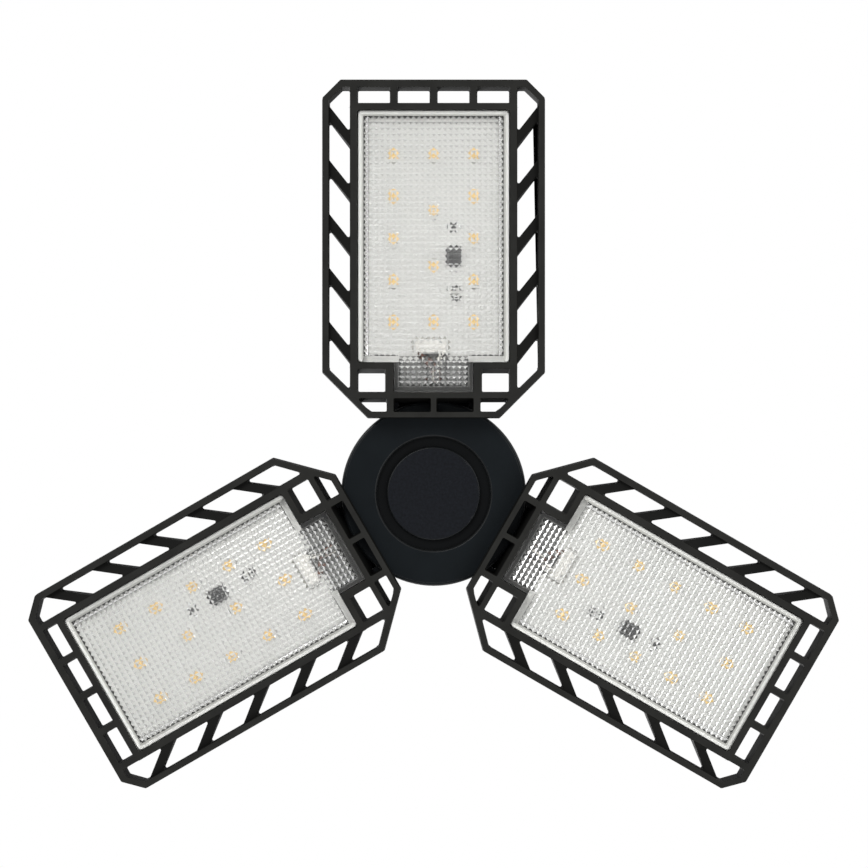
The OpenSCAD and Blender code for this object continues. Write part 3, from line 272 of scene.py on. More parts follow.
FINISHES = {
    "nickel": dict(colour=(0.60, 0.585, 0.545), rough=0.26, metallic=1.0, tint=1.08, mottle=9,
                   grain=0.8, bump=0.05, wear_and_highlight=(0.5, 0.4, 0.25)),
    "insulator": dict(colour=(0.012, 0.012, 0.014), rough=0.16, tint=1.2, bump=0.04),
    "solder": dict(colour=(0.55, 0.55, 0.56), rough=0.3, metallic=1.0, tint=1.15, mottle=1.5,
                   grain=0.6, bump=0.25),
    "hub_plastic": dict(colour=(0.0046, 0.0056, 0.0072), rough=0.45, specular=0.075, tint=1.2,
                        mottle=14, grain=0.35, bump=0.10, wear_and_highlight=(0.03, 0.03, 0.032)),
    # painted shade: the groove floor darkens behind the front; painted highlight: light grey along
    # every edge
    "cover_plastic": dict(colour=(0.0048, 0.0068, 0.0084), rough=0.45, specular=0.07, tint=1.2,
                          mottle=14, grain=0.35, bump=0.10, wear_and_highlight=(0.11, 0.11, 0.11),
                          painted_highlight_least=0.6, painted_recess_shade=(-46.5, -45.6, 0.75)),
    # painted highlight: light grey along every edge
    "cap_plastic": dict(colour=(0.0066, 0.0076, 0.0100), rough=0.62, specular=0.07, tint=1.45,
                        mottle=0.9, grain=0.28, bump=0.55, wear_and_highlight=(0.09, 0.09, 0.095),
                        painted_highlight_least=0.6),
    "hub_edge": dict(colour=(0.0052, 0.0060, 0.0068), rough=0.36, tint=1.15, mottle=8,
                     grain=0.35, bump=0.06),
    # painted shade: fins and walls behind the front are darkened
    "frame_plastic": dict(colour=(0.0185, 0.0185, 0.0172), rough=0.75, specular=0.07, mottle=11,
                          grain=0.4, bump=0.14, wear_and_highlight=(0.07, 0.066, 0.058),
                          painted_recess_shade=(-55.9, -55.2, 0.55)),
    "arm_plastic": dict(colour=(0.014, 0.014, 0.014), rough=0.5, specular=0.3, tint=1.3,
                        grain=0.6, bump=0.2, wear_and_highlight=(0.05, 0.05, 0.05)),
    "circuit_board": dict(colour=(0.02, 0.13, 0.05), rough=0.32, tint=1.2, mottle=5, bump=0.08),
    "copper_track": dict(colour=(0.05, 0.22, 0.09), rough=0.28, tint=1.1, bump=0.06),
    "chip_black": dict(colour=(0.02, 0.02, 0.021), rough=0.5, specular=0.35, tint=1.2,
                       grain=0.25, bump=0.25),
    "silk_white": dict(colour=(0.7, 0.7, 0.68), rough=0.5, tint=1.05, bump=0.05),
    "chip_mark": dict(colour=(0.09, 0.09, 0.09), rough=0.6, tint=1.1, bump=0.05),
    "capacitor_sleeve": dict(colour=(0.02, 0.03, 0.07), rough=0.22, tint=1.1, bump=0.05,
                             coat=0.3),
    "sleeve_stripe": dict(colour=(0.55, 0.57, 0.6), rough=0.3, tint=1.1, bump=0.05),
    "film_amber": dict(colour=(0.52, 0.24, 0.04), rough=0.28, tint=1.15, mottle=3, bump=0.08,
                       coat=0.3),
    "resistor_body": dict(colour=(0.075, 0.09, 0.075), rough=0.4, tint=1.2, mottle=2),
    "disc_blue": dict(colour=(0.03, 0.11, 0.33), rough=0.3, mottle=2, grain=0.7, bump=0.2,
                      coat=0.3),
    "white_plastic": dict(colour=(0.58, 0.565, 0.545), rough=0.4, tint=1.04, mottle=3, bump=0.06,
                          subsurface=0.2),
    "wire_grey": dict(colour=(0.25, 0.25, 0.24), rough=0.45, tint=1.15, mottle=3, bump=0.1),
    "wire_brown": dict(colour=(0.11, 0.04, 0.022), rough=0.42, tint=1.2, mottle=3, bump=0.1),
    "wire_white": dict(colour=(0.74, 0.72, 0.68), rough=0.42, tint=1.05, mottle=3, bump=0.1),
    "steel": dict(colour=(0.48, 0.49, 0.5), rough=0.3, metallic=1.0, tint=1.12, mottle=1.5,
                  grain=0.3, wear_and_highlight=(0.7, 0.7, 0.7)),
    "brass": dict(colour=(0.62, 0.42, 0.15), rough=0.26, metallic=1.0, tint=1.1, mottle=2,
                  grain=0.3, bump=0.08),
    # painted shade: the heat sink darkens towards its face under the lens
    "aluminium": dict(colour=(0.42, 0.42, 0.415), rough=0.48, metallic=1.0, tint=1.08, mottle=12,
                      grain=0.6, bump=0.1, wear_and_highlight=(0.6, 0.6, 0.59), painted_recess_shade=(-46.5, -48.5, 0.7)),
    "pad_grey": dict(colour=(0.42, 0.45, 0.5), rough=0.7, tint=1.08, mottle=2, grain=0.3,
                     bump=0.4),
    "board_white": dict(colour=(0.49, 0.487, 0.48), rough=0.36, tint=1.02, mottle=16, bump=0.05),
    "seal_white": dict(colour=(0.72, 0.72, 0.70), rough=0.6, tint=1.02, mottle=4, grain=0.4,
                       bump=0.1),
    "phosphor": dict(colour=(0.66, 0.44, 0.15), rough=0.45, tint=1.08, mottle=0.8, grain=0.15,
                     bump=0.15),
    "floor_white": dict(colour=(0.8, 0.8, 0.8), rough=0.8, tint=1.02, mottle=300, grain=20,
                        bump=0.02),
}
MAT = {name: surface(name, **finish) for name, finish in FINISHES.items()}
MAT["clear_lens"] = clear_plastic("clear_lens")


# Mesh helpers

ROUND_ANGLE = math.radians(30)  # steeper edges of a simple form are rounded
FLAT_ANGLE = math.radians(0.8)  # CAD triangles that lean less than this are one flat face
SHARP_DEGREES = 32  # steeper edges look sharp, and those of CAD copies are rounded
WIRE_SHARP_DEGREES = 60
WELD, SAME_LEVEL = 0.002, 0.02
CURVE_STEPS = 6


def panel_turn(i):
    return Matrix.Rotation(TURN * (i - 1), 4, "Z")


def bridge(part, a, b, closed=True):
    """Joins two rows of corners with a band of faces."""
    for k in range(len(a) if closed else len(a) - 1):
        n = (k + 1) % len(a)
        part.faces.new((a[k], a[n], b[n], b[k]))


def spline(p):
    """Points on the smooth curve through p that the part's source also uses."""
    out = []
    for k in range(len(p) - 1):
        a, b, c, d = p[max(k - 1, 0)], p[k], p[k + 1], p[min(k + 2, len(p) - 1)]
        for s in range(CURVE_STEPS):
            t = s / CURVE_STEPS
            out.append(0.5 * (2 * b + (c - a) * t + (2 * a - 5 * b + 4 * c - d) * t * t
                              + (3 * b - a - 3 * c + d) * t ** 3))
    return out + [p[-1]]


class Solid:
    """A mesh built from simple forms, each with the first of the finishes unless it names one."""

    def __init__(self, *finishes):
        self.bm = bmesh.new()
        self.finishes = finishes

    def take(self, part):
        """Takes in the faces of a part, which is used up."""
        mesh = bpy.data.meshes.new("part")
        part.to_mesh(mesh)
        part.free()
        self.bm.from_mesh(mesh)
        bpy.data.meshes.remove(mesh)

    def join(self, part, finish=None, bevel=0.0, segments=2):
        """Takes in a part with its sharp edges rounded."""
        if bevel:
            edges = [e for e in part.edges if len(e.link_faces) == 2
                     and e.calc_face_angle(0) > ROUND_ANGLE]
            bmesh.ops.bevel(part, geom=edges, offset=bevel, segments=segments, profile=0.5,
                            affect="EDGES", clamp_overlap=True)
        bmesh.ops.recalc_face_normals(part, faces=part.faces)
        index = self.finishes.index(finish or self.finishes[0])
        for face in part.faces:
            face.material_index = index
        self.take(part)
        return self

    def box(self, low, high, finish=None, bevel=0.0, segments=2):
        part = bmesh.new()
        bmesh.ops.create_cube(part, size=1)
        for v in part.verts:
            v.co = Vector(((low[k] + high[k]) / 2 + v.co[k] * (high[k] - low[k])) for k in range(3))
        return self.join(part, finish, bevel, segments)

    def slab(self, outline, z0, z1, finish=None, bevel=0.0, at=Matrix.Identity(4)):
        """A flat form with the given outline of X and Y, between two heights."""
        part = bmesh.new()
        low, high = ([part.verts.new((x, y, z)) for x, y in outline] for z in (z0, z1))
        part.faces.new(low)
        part.faces.new(high)
        bridge(part, low, high)
        bmesh.ops.transform(part, matrix=at, verts=part.verts)
        return self.join(part, finish, bevel)

    def revolve(self, profile, finish=None, segments=96, bevel=0.0, at=Matrix.Identity(4)):
        """Turns a closed outline of radius and height about the Z axis of `at`."""
        part = bmesh.new()
        rings = []
        for k in range(segments):
            c, s = math.cos(2 * math.pi * k / segments), math.sin(2 * math.pi * k / segments)
            rings.append([part.verts.new((r * c, r * s, z)) for r, z in profile])
        for a, b in zip(rings, rings[1:] + rings[:1]):
            for j in range(len(profile)):
                n = (j + 1) % len(profile)
                part.faces.new((a[j], b[j], b[n], a[n]))
        bmesh.ops.remove_doubles(part, verts=part.verts, dist=1e-5)
        bmesh.ops.transform(part, matrix=at, verts=part.verts)
        return self.join(part, finish, bevel)

    def rod(self, r, z0, z1, finish, segments=12, at=Matrix.Identity(4)):
        return self.revolve([(0, z0), (r, z0), (r, z1), (0, z1)], finish, segments, at=at)

    def tube(self, points, radius, finish=None, sides=14):
        """A round wire along a smooth curve through the points."""
        path = spline([Vector(p) for p in points])
        part = bmesh.new()
        across = None
        rings = []
        for k, p in enumerate(path):
            along = (path[min(k + 1, len(path) - 1)] - path[max(k - 1, 0)]).normalized()
            across = along.orthogonal() if across is None else across - along * across.dot(along)
            across.normalize()
            other = along.cross(across)
            rings.append([part.verts.new(p + radius * (math.cos(a) * across + math.sin(a) * other))
                          for a in (2 * math.pi * s / sides for s in range(sides))])
        for a, b in zip(rings, rings[1:]):
            bridge(part, a, b)
        part.faces.new(rings[0])
        part.faces.new(rings[-1])
        return self.join(part, finish)

    def mesh(self, name, sharp=SHARP_DEGREES):
        mesh = bpy.data.meshes.new(name)
        bmesh.ops.scale(self.bm, vec=(MM, MM, MM), verts=self.bm.verts)
        self.bm.to_mesh(mesh)
        self.bm.free()
        for finish in self.finishes:
            mesh.materials.append(MAT[finish])
        mesh.shade_smooth()
        mesh.set_sharp_from_angle(angle=math.radians(sharp))
        return mesh


def cad_copy(node, finish, join_flats=True):
    """A CAD node's mesh with its triangles joined to flat faces, ready for a bevel."""
    bm = bmesh.new()
    bm.from_mesh(NODES[node].data)
    bmesh.ops.remove_doubles(bm, verts=bm.verts, dist=WELD * MM)
    if join_flats:
        bmesh.ops.dissolve_limit(bm, angle_limit=FLAT_ANGLE, verts=bm.verts, edges=bm.edges)
    mesh = bpy.data.meshes.new(node + "_shape")
    bm.to_mesh(mesh)
    bm.free()
    mesh.materials.append(MAT[finish])
    mesh.shade_smooth()
    mesh.set_sharp_from_angle(angle=math.radians(SHARP_DEGREES))
    return mesh


def put(mesh, name, body, nodes=(), turn=0.0, bevel=0.0):
    """Places a piece on a body, in place of the CAD nodes that it replaces."""
    if turn:
        mesh = mesh.copy()
        mesh.transform(Matrix.Rotation(turn, 4, "Z"))
    obj = bpy.data.objects.new(name, mesh)
    scene.collection.objects.link(obj)
    if bevel:
        round_off = obj.modifiers.new("round_edges", "BEVEL")
        round_off.width = bevel * MM
        round_off.segments = 2
        round_off.limit_method = "ANGLE"
        round_off.angle_limit = math.radians(SHARP_DEGREES)
        round_off.use_clamp_overlap = False
        round_off.miter_outer = "MITER_ARC"
        obj.modifiers.new("flat_faces", "WEIGHTED_NORMAL").keep_sharp = False
    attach(obj, body)
    if nodes:
        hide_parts(*nodes)


def put_hub(mesh, node, name=None, bevel=0.0, replaces=True):
    put(mesh, name or node + "_look", "hub", [node] if replaces else [], bevel=bevel)


def put_panels(mesh, stem, name=None, bevel=0.0, replaces=True):
    for i in PANELS:
        put(mesh, f"{name or stem + '_look'}_{i}", f"panel_{i}",
            [f"{stem}_{i}"] if replaces else [], turn=TURN * (i - 1), bevel=bevel)


# Pieces that keep their CAD shape: the finish, which names the slot too, and the edges' rounding

CAD_PIECES = {
    "hub_housing": ("hub_plastic", 0.2),
    "driver_board": ("circuit_board", 0.1),
    "cover_screws": ("steel", 0.1),
    "hinge_screws": ("steel", 0.12),
    "hinge_washers": ("steel", 0.06),
    "hinge_bushes": ("brass", 0.1),
    "hinge_arm": ("arm_plastic", 0.25),
    "arm_screws": ("steel", 0.08),
    "panel_frame": ("frame_plastic", 0.16),
    "heat_sink": ("aluminium", 0.1),
    "frame_screws": ("steel", 0.08),
    "thermal_pad": ("pad_grey", 0.04),
    "led_board": ("board_white", 0.08),
}


def cad_pieces(*stems):
    for stem in stems:
        finish, bevel = CAD_PIECES[stem]
        if stem in NODES:
            put_hub(cad_copy(stem, finish), stem, bevel=bevel)
        else:
            put_panels(cad_copy(stem + "_1", finish), stem, bevel=bevel)


# Screw base

def screw_shell():
    """The threaded shell: a skirt, a round right-hand thread and a cone, with a spot of solder."""
    around, rows = 160, 120
    crest_r = SKIRT_R - SHELL_WALL / 5
    root_r = crest_r - THREAD_DEPTH - SHELL_WALL * 0.1
    half = THREAD_DEPTH / 2
    low_z, fade = SKIRT_H - 0.5, 0.9
    hem_h, hem_in, lining_r = 0.4, 0.12, SPIGOT_R + 0.1
    angles = [2 * math.pi * s / around for s in range(around)]
    part = bmesh.new()

    def radius(turn, z):
        if z <= SKIRT_H:
            return SKIRT_R - hem_in * max(0.0, 1 - z / hem_h)
        if z >= SHELL_TOP_Z:
            share = (z - SHELL_TOP_Z) / (CONE_TOP_Z - SHELL_TOP_Z)
            return root_r + (INSULATOR_R + SHELL_WALL - root_r) * share
        phase = turn - 2 * math.pi * THREAD_TURNS * (z - low_z) / (SHELL_TOP_Z - low_z)
        wave = crest_r - half + half * math.cos(phase)
        wave = SKIRT_R + (wave - SKIRT_R) * min(1.0, (z - SKIRT_H) / fade)
        return root_r + (wave - root_r) * min(1.0, (SHELL_TOP_Z - z) / fade)

    def ring(radii, z):
        return [part.verts.new((r * math.cos(a), r * math.sin(a), z))
                for r, a in zip(radii, angles)]

    loops = [ring([radius(a, z) for a in angles], z)
             for z in (CONE_TOP_Z * k / rows for k in range(rows + 1))]
    loops += [ring([r] * around, z) for r, z in
              ((INSULATOR_R, CONE_TOP_Z), (lining_r, SHELL_TOP_Z - 0.2), (lining_r, 0))]
    for a, b in zip(loops, loops[1:] + loops[:1]):
        bridge(part, a, b)
    solid = Solid("nickel", "solder").join(part)
    spot = [(0, -0.2), (1.5, -0.2), (1.3, 0.12), (0.7, 0.3), (0, 0.36)]
    side = Matrix.Translation((0, -(SKIRT_R - 0.32), 1.9)) @ Matrix.Rotation(math.pi / 2, 4, "X")
    solid.revolve(spot, "solder", segments=24, at=side)
    put_hub(solid.mesh("screw_shell_mesh", 50), "screw_shell")


def base_insulator():
    """The insulator, which slopes up to a ring round the centre contact."""
    z, top = CONE_TOP_Z, CONE_TOP_Z + INSULATOR_H
    in_r, out_r, ring_r = (INSULATOR_R - SHELL_WALL, INSULATOR_R + SHELL_WALL,
                           CONTACT_R + SHELL_WALL + 0.5)
    slope = [(out_r + (ring_r - out_r) * share,
              z + INSULATOR_H / 4 + (INSULATOR_H * 0.72) * share ** 0.8)
             for share in (k / 6 for k in range(1, 6))]
    profile = [(0, SHELL_TOP_Z), (in_r, SHELL_TOP_Z), (in_r, z), (out_r, z), (out_r, z + 0.5)]
    profile += slope + [(CONTACT_R + 0.6, top - 0.25), (CONTACT_R + 0.35, top), (0, top)]
    solid = Solid("insulator").revolve(profile, bevel=0.12)
    put_hub(solid.mesh("insulator_mesh", 40), "base_insulator")


def base_contact():
    """The domed centre contact with its drop of solder."""
    low, end = CONE_TOP_Z + INSULATOR_H, CONE_TOP_Z + INSULATOR_H + CONTACT_H
    dome = [(0, low), (CONTACT_R, low), (CONTACT_R, low + 0.3), (CONTACT_R * 0.96, low + 0.62)]
    dome += [(CONTACT_R * across, low + CONTACT_H * up) for across, up in
             ((0.85, 0.62), (0.68, 0.8), (0.5, 0.9), (0.36, 0.94))]
    dome += [(CONTACT_R * 0.3, end - 0.18), (0, end - 0.22)]
    drop = [(0, end - 0.3), (1.35, end - 0.3), (1.2, end - 0.12), (0.7, end - 0.01), (0, end)]
    solid = Solid("nickel", "solder").revolve(dome, bevel=0.05)
    solid.revolve(drop, "solder", segments=32)
    put_hub(solid.mesh("contact_mesh", 40), "base_contact")


# Hub

def hub_neck():
    """The neck with its spigot, on which the shell sits."""
    top = SHELL_TOP_Z - 0.1
    profile = [(NECK_R, -NECK_H), (NECK_R, -0.6), (NECK_R - 0.15, -0.2), (NECK_R - 0.45, 0),
               (SPIGOT_R, 0), (SPIGOT_R, top), (SPIGOT_IN_R, top), (SPIGOT_IN_R, -2),
               (NECK_IN_R, -4), (NECK_IN_R, -NECK_H)]
    solid = Solid("hub_plastic").revolve(profile, segments=128, bevel=0.12)
    put_hub(solid.mesh("neck_mesh"), "hub_neck")


def hub_face():
    """The cover and the cap in its middle, with a glossier finish on the slopes that face down."""
    for node, finish, slot in (("hub_cover", "cover_plastic", "hub_plastic"),
                               ("centre_cap", "cap_plastic", "cap_plastic")):
        mesh = cad_copy(node, finish, join_flats=False)
        mesh.materials.append(MAT["hub_edge"])
        for face in mesh.polygons:
            if -0.93 < face.normal.z < -0.35:
                face.material_index = 1
        put_hub(mesh, node, bevel=0.15)


def hinge_lips():
    """A lip on the hub's wall behind each hinge, with tabs that close the slits at the knuckle."""
    wall_r = HUB_R - 0.6
    wall = [(x, math.sqrt(wall_r ** 2 - x * x)) for x in (LIP_X * k / 8 for k in range(-8, 9))]
    tab = [(LIP_X, LIP_TAB_Y), (LIP_TAB_X, LIP_TAB_Y), (LIP_TAB_X, LIP_Y)]
    outline = wall + tab + [(-x, y) for x, y in reversed(tab)]
    solid = Solid("hub_plastic")
    for i in PANELS:
        solid.slab(outline, LIP_LOW_Z, LIP_HIGH_Z, bevel=0.2, at=panel_turn(i))
    put_hub(solid.mesh("lips_mesh"), "hub_housing", name="hinge_lips",
            replaces=False)


# Driver board and its parts

def on_board(turn, out):
    """The frame of a part that stands on the driver board, out from the middle."""
    return (Matrix.Rotation(math.radians(turn), 4, "Z")
            @ Matrix.Translation((0, out, DRIVER_TOP_Z)))


def put_on_board(solid, node, turn, out=PART_RING):
    bmesh.ops.transform(solid.bm, matrix=on_board(turn, out), verts=solid.bm.verts)
    put_hub(solid.mesh(node + "_mesh"), node)


def rectifier():
    """A moulded bridge with a stripe and a plus sign on top, and four flat legs."""
    w, d, h = RECTIFIER_SIZE[0] / 2, RECTIFIER_SIZE[1] / 2, RECTIFIER_SIZE[2]
    sunk, raised = h - 0.02, h + 0.03
    solid = Solid("chip_black", "solder", "chip_mark")
    solid.box((-w + 0.5, -d, 0.25), (w - 0.5, d, h), bevel=0.35, segments=3)
    solid.box((-w + 0.9, -d + 0.4, sunk), (-w + 1.2, d - 0.4, h + 0.04), "chip_mark", bevel=0.02)
    for x, y in ((w - 1.9, d - 1.6), (w - 1.9, -d + 1.6)):
        solid.box((x - 0.5, y - 0.1, sunk), (x + 0.5, y + 0.1, raised), "chip_mark")
    solid.box((w - 2.0, d - 2.1, sunk), (w - 1.8, d - 1.1, raised), "chip_mark")
    leg_w, leg_top, leg_bevel = 0.5, 1.2, 0.06
    for side in (-1, 1):
        x, drop_x = side * (w - 0.3), side * 0.12
        for y in (-d * 0.55, d * 0.55):
            y0, y1 = y - leg_w, y + leg_w
            solid.box((x - 0.3, y0, 0.9), (x + 0.3, y1, leg_top), "solder", leg_bevel)
            solid.box((x - 0.15 + drop_x, y0, 0.05), (x + 0.15 + drop_x, y1, leg_top), "solder",
                      leg_bevel)
            solid.box((x - 0.5, y - 0.6, 0), (x + 0.5, y + 0.6, 0.18), "solder", bevel=0.07)
    put_on_board(solid, "rectifier", RECTIFIER_TURN)


def bulk_capacitor():
    """A sleeved can with a crimp ring, a light stripe and a scored vent in its lid."""
    r, h = BULK_R, BULK_H
    lid_z = h - 0.45
    solid = Solid("capacitor_sleeve", "sleeve_stripe", "steel", "chip_black")
    can = [(0, 0.5), (r - 0.6, 0.5), (r - 0.1, 0.9), (r, 1.3), (r - 0.45, 1.9), (r, 2.5),
           (r, h - 0.6), (r - 0.25, h - 0.15), (r - 0.7, h), (r - 0.95, h - 0.1),
           (r - 1.05, lid_z), (0, lid_z)]
    bung = [(0, 0), (r - 1.0, 0), (r - 1.0, 0.6), (0, 0.6)]
    lid = [(0, h - 0.5), (r - 1.1, h - 0.5), (r - 1.25, h - 0.36), (0, h - 0.36)]
    solid.revolve(can, bevel=0.06)
    solid.revolve(bung, "chip_black", bevel=0.1)
    solid.revolve(lid, "steel", bevel=0.03)
    for x, y in ((2.3, 0.11), (0.11, 2.3)):
        solid.box((-x, -y, h - 0.38), (x, y, h - 0.33), "chip_black")
    part = bmesh.new()
    across = [(r + 0.05) * Vector((math.cos(a), math.sin(a), 0))
              for a in (math.radians(12 * k - 30) for k in range(6))]
    low, high = ([part.verts.new((v.x, v.y, z)) for v in across] for z in (2.6, h - 0.7))
    bridge(part, low, high, closed=False)
    solid.join(part, "sleeve_stripe")
    put_on_board(solid, "bulk_capacitor", 0, out=0)


def film_capacitor():
    """An epoxy-dipped film capacitor with printed lines, on two tinned leads."""
    w, d, h = FILM_SIZE[0] / 2, FILM_SIZE[1] / 2, FILM_SIZE[2]
    solid = Solid("film_amber", "solder", "chip_black")
    solid.box((-w, -d, 0.5), (w, d, h), bevel=0.8, segments=4)
    print_y0, print_y1 = -d - 0.01, -d + 0.1
    solid.box((-w * 0.6, print_y0, h * 0.52), (w * 0.6, print_y1, h * 0.58), "chip_black")
    solid.box((-w * 0.6, print_y0, h * 0.36), (w * 0.25, print_y1, h * 0.42), "chip_black")
    for side in (-1, 1):
        at = Matrix.Translation((side * w * 0.72, 0, 0))
        solid.revolve([(0, 0.1), (0.75, 0.4), (0.95, 0.8), (0, 1.3)], segments=20, at=at)
        solid.rod(0.3, 0, 1.0, "solder", at=at)
    put_on_board(solid, "film_capacitor", FILM_TURN)


def fuse_resistor():
    """A standing resistor with swollen ends, colour bands and a lead bent over its top."""
    r, h = FUSE_R, FUSE_H - 0.9
    waist_r, band_r, band_h, back_y = r * 0.86, r * 0.88, 0.45, r + 0.5
    solid = Solid("resistor_body", "solder", "wire_brown", "chip_black", "film_amber")
    solid.revolve([(0, 0.6), (r * 0.6, 0.6), (r, 1.0), (r, 1.9), (waist_r, 2.3),
                   (waist_r, h - 1.8), (r, h - 1.4), (r, h - 0.6), (r * 0.6, h - 0.2),
                   (0, h - 0.1)], segments=48, bevel=0.12)
    for z, finish in ((2.9, "wire_brown"), (3.8, "chip_black"), (4.7, "film_amber"),
                      (5.6, "wire_brown")):
        solid.revolve([(0, z), (band_r, z), (band_r, z + band_h), (0, z + band_h)], finish,
                      segments=48)
    solid.rod(0.32, 0, 0.8, "solder", segments=14)
    solid.tube([(0, 0, h - 0.3), (0, 0, h + 0.2), (0, r * 0.5, h + 0.55), (0, r + 0.4, h + 0.1),
                (0, back_y, h - 1), (0, back_y, h / 2), (0, back_y, 0)], 0.3, "solder", sides=10)
    put_on_board(solid, "fuse_resistor", FUSE_TURN)


def surge_disc():
    """A lacquered disc with soft edges and a printed line, on two leads."""
    r, half = DISC_R, DISC_T / 2
    solid = Solid("disc_blue", "solder", "chip_black")
    rim = [(r - half * 0.75 * (1 - math.sin(a)), -half * 0.8 * math.cos(a))
           for a in (math.pi * k / 8 for k in range(9))]
    upright = Matrix.Translation((0, r, r)) @ Matrix.Rotation(math.pi / 2, 4, "Y")
    solid.revolve([(0, -half)] + rim + [(0, half)], segments=72, at=upright)
    solid.box((half - 0.05, r - 1.6, r - 0.1), (half - 0.01, r + 1.6, r + 0.1), "chip_black")
    for side in (-1, 1):
        lead = [(side * 0.5, r + side * 1.8, 1.4), (side * 0.5, r + side * 1.8, 0.7),
                (side * 0.4, r + side * 2.2, 0)]
        solid.tube(lead, 0.28, "solder", sides=10)
    put_on_board(solid, "surge_disc", DISC_TURN)


def output_connectors():
    """Three white headers with two open mouths each and a latch rib."""
    w, d, h = HEADER_SIZE[0] / 2, HEADER_SIZE[1] / 2, HEADER_SIZE[2]
    low, high, mouth_y = DRIVER_Z - h, DRIVER_Z, d - 1.2
    solid = Solid("white_plastic", "chip_black", "solder")
    for i in PANELS:
        header = Solid(*solid.finishes)
        header.box((-w, -d, low), (w, d - 0.8, high), bevel=0.2)
        for x0, x1 in ((-w, -w + 0.6), (-0.3, 0.3), (w - 0.6, w)):
            header.box((x0, mouth_y, low), (x1, d, high), bevel=0.1)
        header.box((-w, mouth_y, low), (w, d, low + 0.6), bevel=0.12)
        header.box((-w, mouth_y, high - 0.5), (w, d, high), bevel=0.12)
        header.box((-w, d - 0.85, low + 0.4), (w, d - 0.75, high - 0.3), "chip_black")
        header.box((-w * 0.5, -d - 0.01, low + 0.3), (w * 0.5, -d + 0.2, low + 0.9), bevel=0.08)
        for x in (-w / 2, w / 2):
            header.rod(0.3, high - 0.2, DRIVER_TOP_Z + 0.5, "solder",
                       at=Matrix.Translation((x, 0, 0)))
        place = panel_turn(i) @ Matrix.Translation((CHANNEL_X, HEADER_Y, 0))
        bmesh.ops.transform(header.bm, matrix=place, verts=header.bm.verts)
        solid.take(header.bm)
    put_hub(solid.mesh("output_connectors_mesh"), "output_connectors")


def board_marks():
    """Tracks, tinned pads and white outlines on the driver board."""
    solid = Solid("copper_track", "solder", "silk_white")
    top, silk_w, silk_h = DRIVER_TOP_Z, 0.22, 0.03

    def strip(x0, y0, x1, y1, width, rise, finish):
        across = Vector((y0 - y1, x1 - x0)).normalized() * width / 2
        corners = [(x0 + across.x, y0 + across.y), (x1 + across.x, y1 + across.y),
                   (x1 - across.x, y1 - across.y), (x0 - across.x, y0 - across.y)]
        solid.slab(corners, top - 0.02, top + rise, finish)

    bend = [(0, top - 0.02), (TRACK_W / 2, top - 0.02), (TRACK_W / 2, top + 0.045),
            (0, top + 0.045)]
    pad = [(0, 0), (1.1, 0), (1.05, 0.08), (0.5, 0.16), (0.35, 0.5), (0, 0.55)]
    for track in TRACKS:
        for k, ((x0, y0), (x1, y1)) in enumerate(zip(track, track[1:])):
            strip(x0, y0, x1, y1, TRACK_W, 0.05 + 0.005 * k, "copper_track")
            solid.revolve(bend, segments=24, at=Matrix.Translation((x1, y1, 0)))
        for x, y in (track[0], track[-1]):
            solid.revolve(pad, "solder", segments=24, at=Matrix.Translation((x, y, top)))
    for turn, half_w, half_l in ((FILM_TURN, 6.0, 3.0), (RECTIFIER_TURN, 5.4, 3.8)):
        square = [on_board(turn, PART_RING) @ Vector((x, y, 0)) for x, y in
                  ((-half_w, -half_l), (half_w, -half_l), (half_w, half_l), (-half_w, half_l),
                   (-half_w, -half_l))]
        for p, q in zip(square, square[1:]):
            strip(p.x, p.y, q.x, q.y, silk_w, silk_h, "silk_white")
    in_r, out_r = BULK_R + 0.5, BULK_R + 0.75
    solid.revolve([(in_r, top - 0.01), (out_r, top - 0.01), (out_r, top + silk_h),
                   (in_r, top + silk_h)], "silk_white")
    put_hub(solid.mesh("board_marks_mesh"), "driver_board", name="board_marks",
            replaces=False)


def input_wires():
    """The two wires from the driver board up into the screw base."""
    foot = BULK_R + 3 * WIRE_R
    top = DRIVER_TOP_Z
    solid = Solid("wire_grey")
    for side in (-1, 1):
        end_x = foot * 0.7 if side > 0 else CONTACT_R / 2
        solid.tube([(side * foot, 0, top), (side * foot, 0, top + 7),
                    (side * foot * 0.9, WIRE_R, top + 14), (side * foot * 0.8, 0, -NECK_H / 2),
                    (side * end_x, 0, SHELL_TOP_Z / 2), (side * end_x, 0, SHELL_TOP_Z)], WIRE_R)
    put_hub(solid.mesh("input_wires_mesh", WIRE_SHARP_DEGREES), "input_wires")


def output_wires():
    """The hub's pairs of wires, from the output connectors into the bushes on the hinge axes."""
    start_y, start_z = 19.15, DRIVER_Z - 2.38
    rise_y, level_y = 24.5, 26.5
    bend, meet_x = BUSH_BORE_R * 0.8, KNUCKLE_X + 0.2
    for side, finish in ((1, "wire_white"), (-1, "wire_brown")):
        z0, z1 = start_z + side * WIRE_PAIR, HINGE_Z + side * WIRE_PAIR
        route = [(CHANNEL_X, start_y, z0), (CHANNEL_X, start_y + bend / 3, z0),
                 (CHANNEL_X, start_y + bend * 2 / 3, z0), (CHANNEL_X, rise_y, z1 + WIRE_R / 2),
                 (CHANNEL_X, level_y, z1), (CHANNEL_X, HINGE_R - 2 * bend, z1),
                 (CHANNEL_X - bend / 8, HINGE_R - bend, z1), (meet_x + bend * 0.5, HINGE_R, z1),
                 (meet_x + bend * 0.25, HINGE_R, z1), (meet_x, HINGE_R, z1)]
        solid = Solid(finish)
        for i in PANELS:
            solid.tube([panel_turn(i) @ Vector(p) for p in route], WIRE_R)
        put_hub(solid.mesh(finish + "_out_mesh", WIRE_SHARP_DEGREES), "output_wires",
                name="output_" + finish, replaces=side > 0)


# Panels

def led_places():
    """The two outer columns of five LEDs and the middle one of four."""
    for side in (-1, 1):
        for k in range(5):
            yield side * LED_COLUMN, LED_FIRST_Y - k * LED_SPAN / 4
    for k in range(4):
        yield 0.0, LED_FIRST_Y - k * LED_SPAN / 3


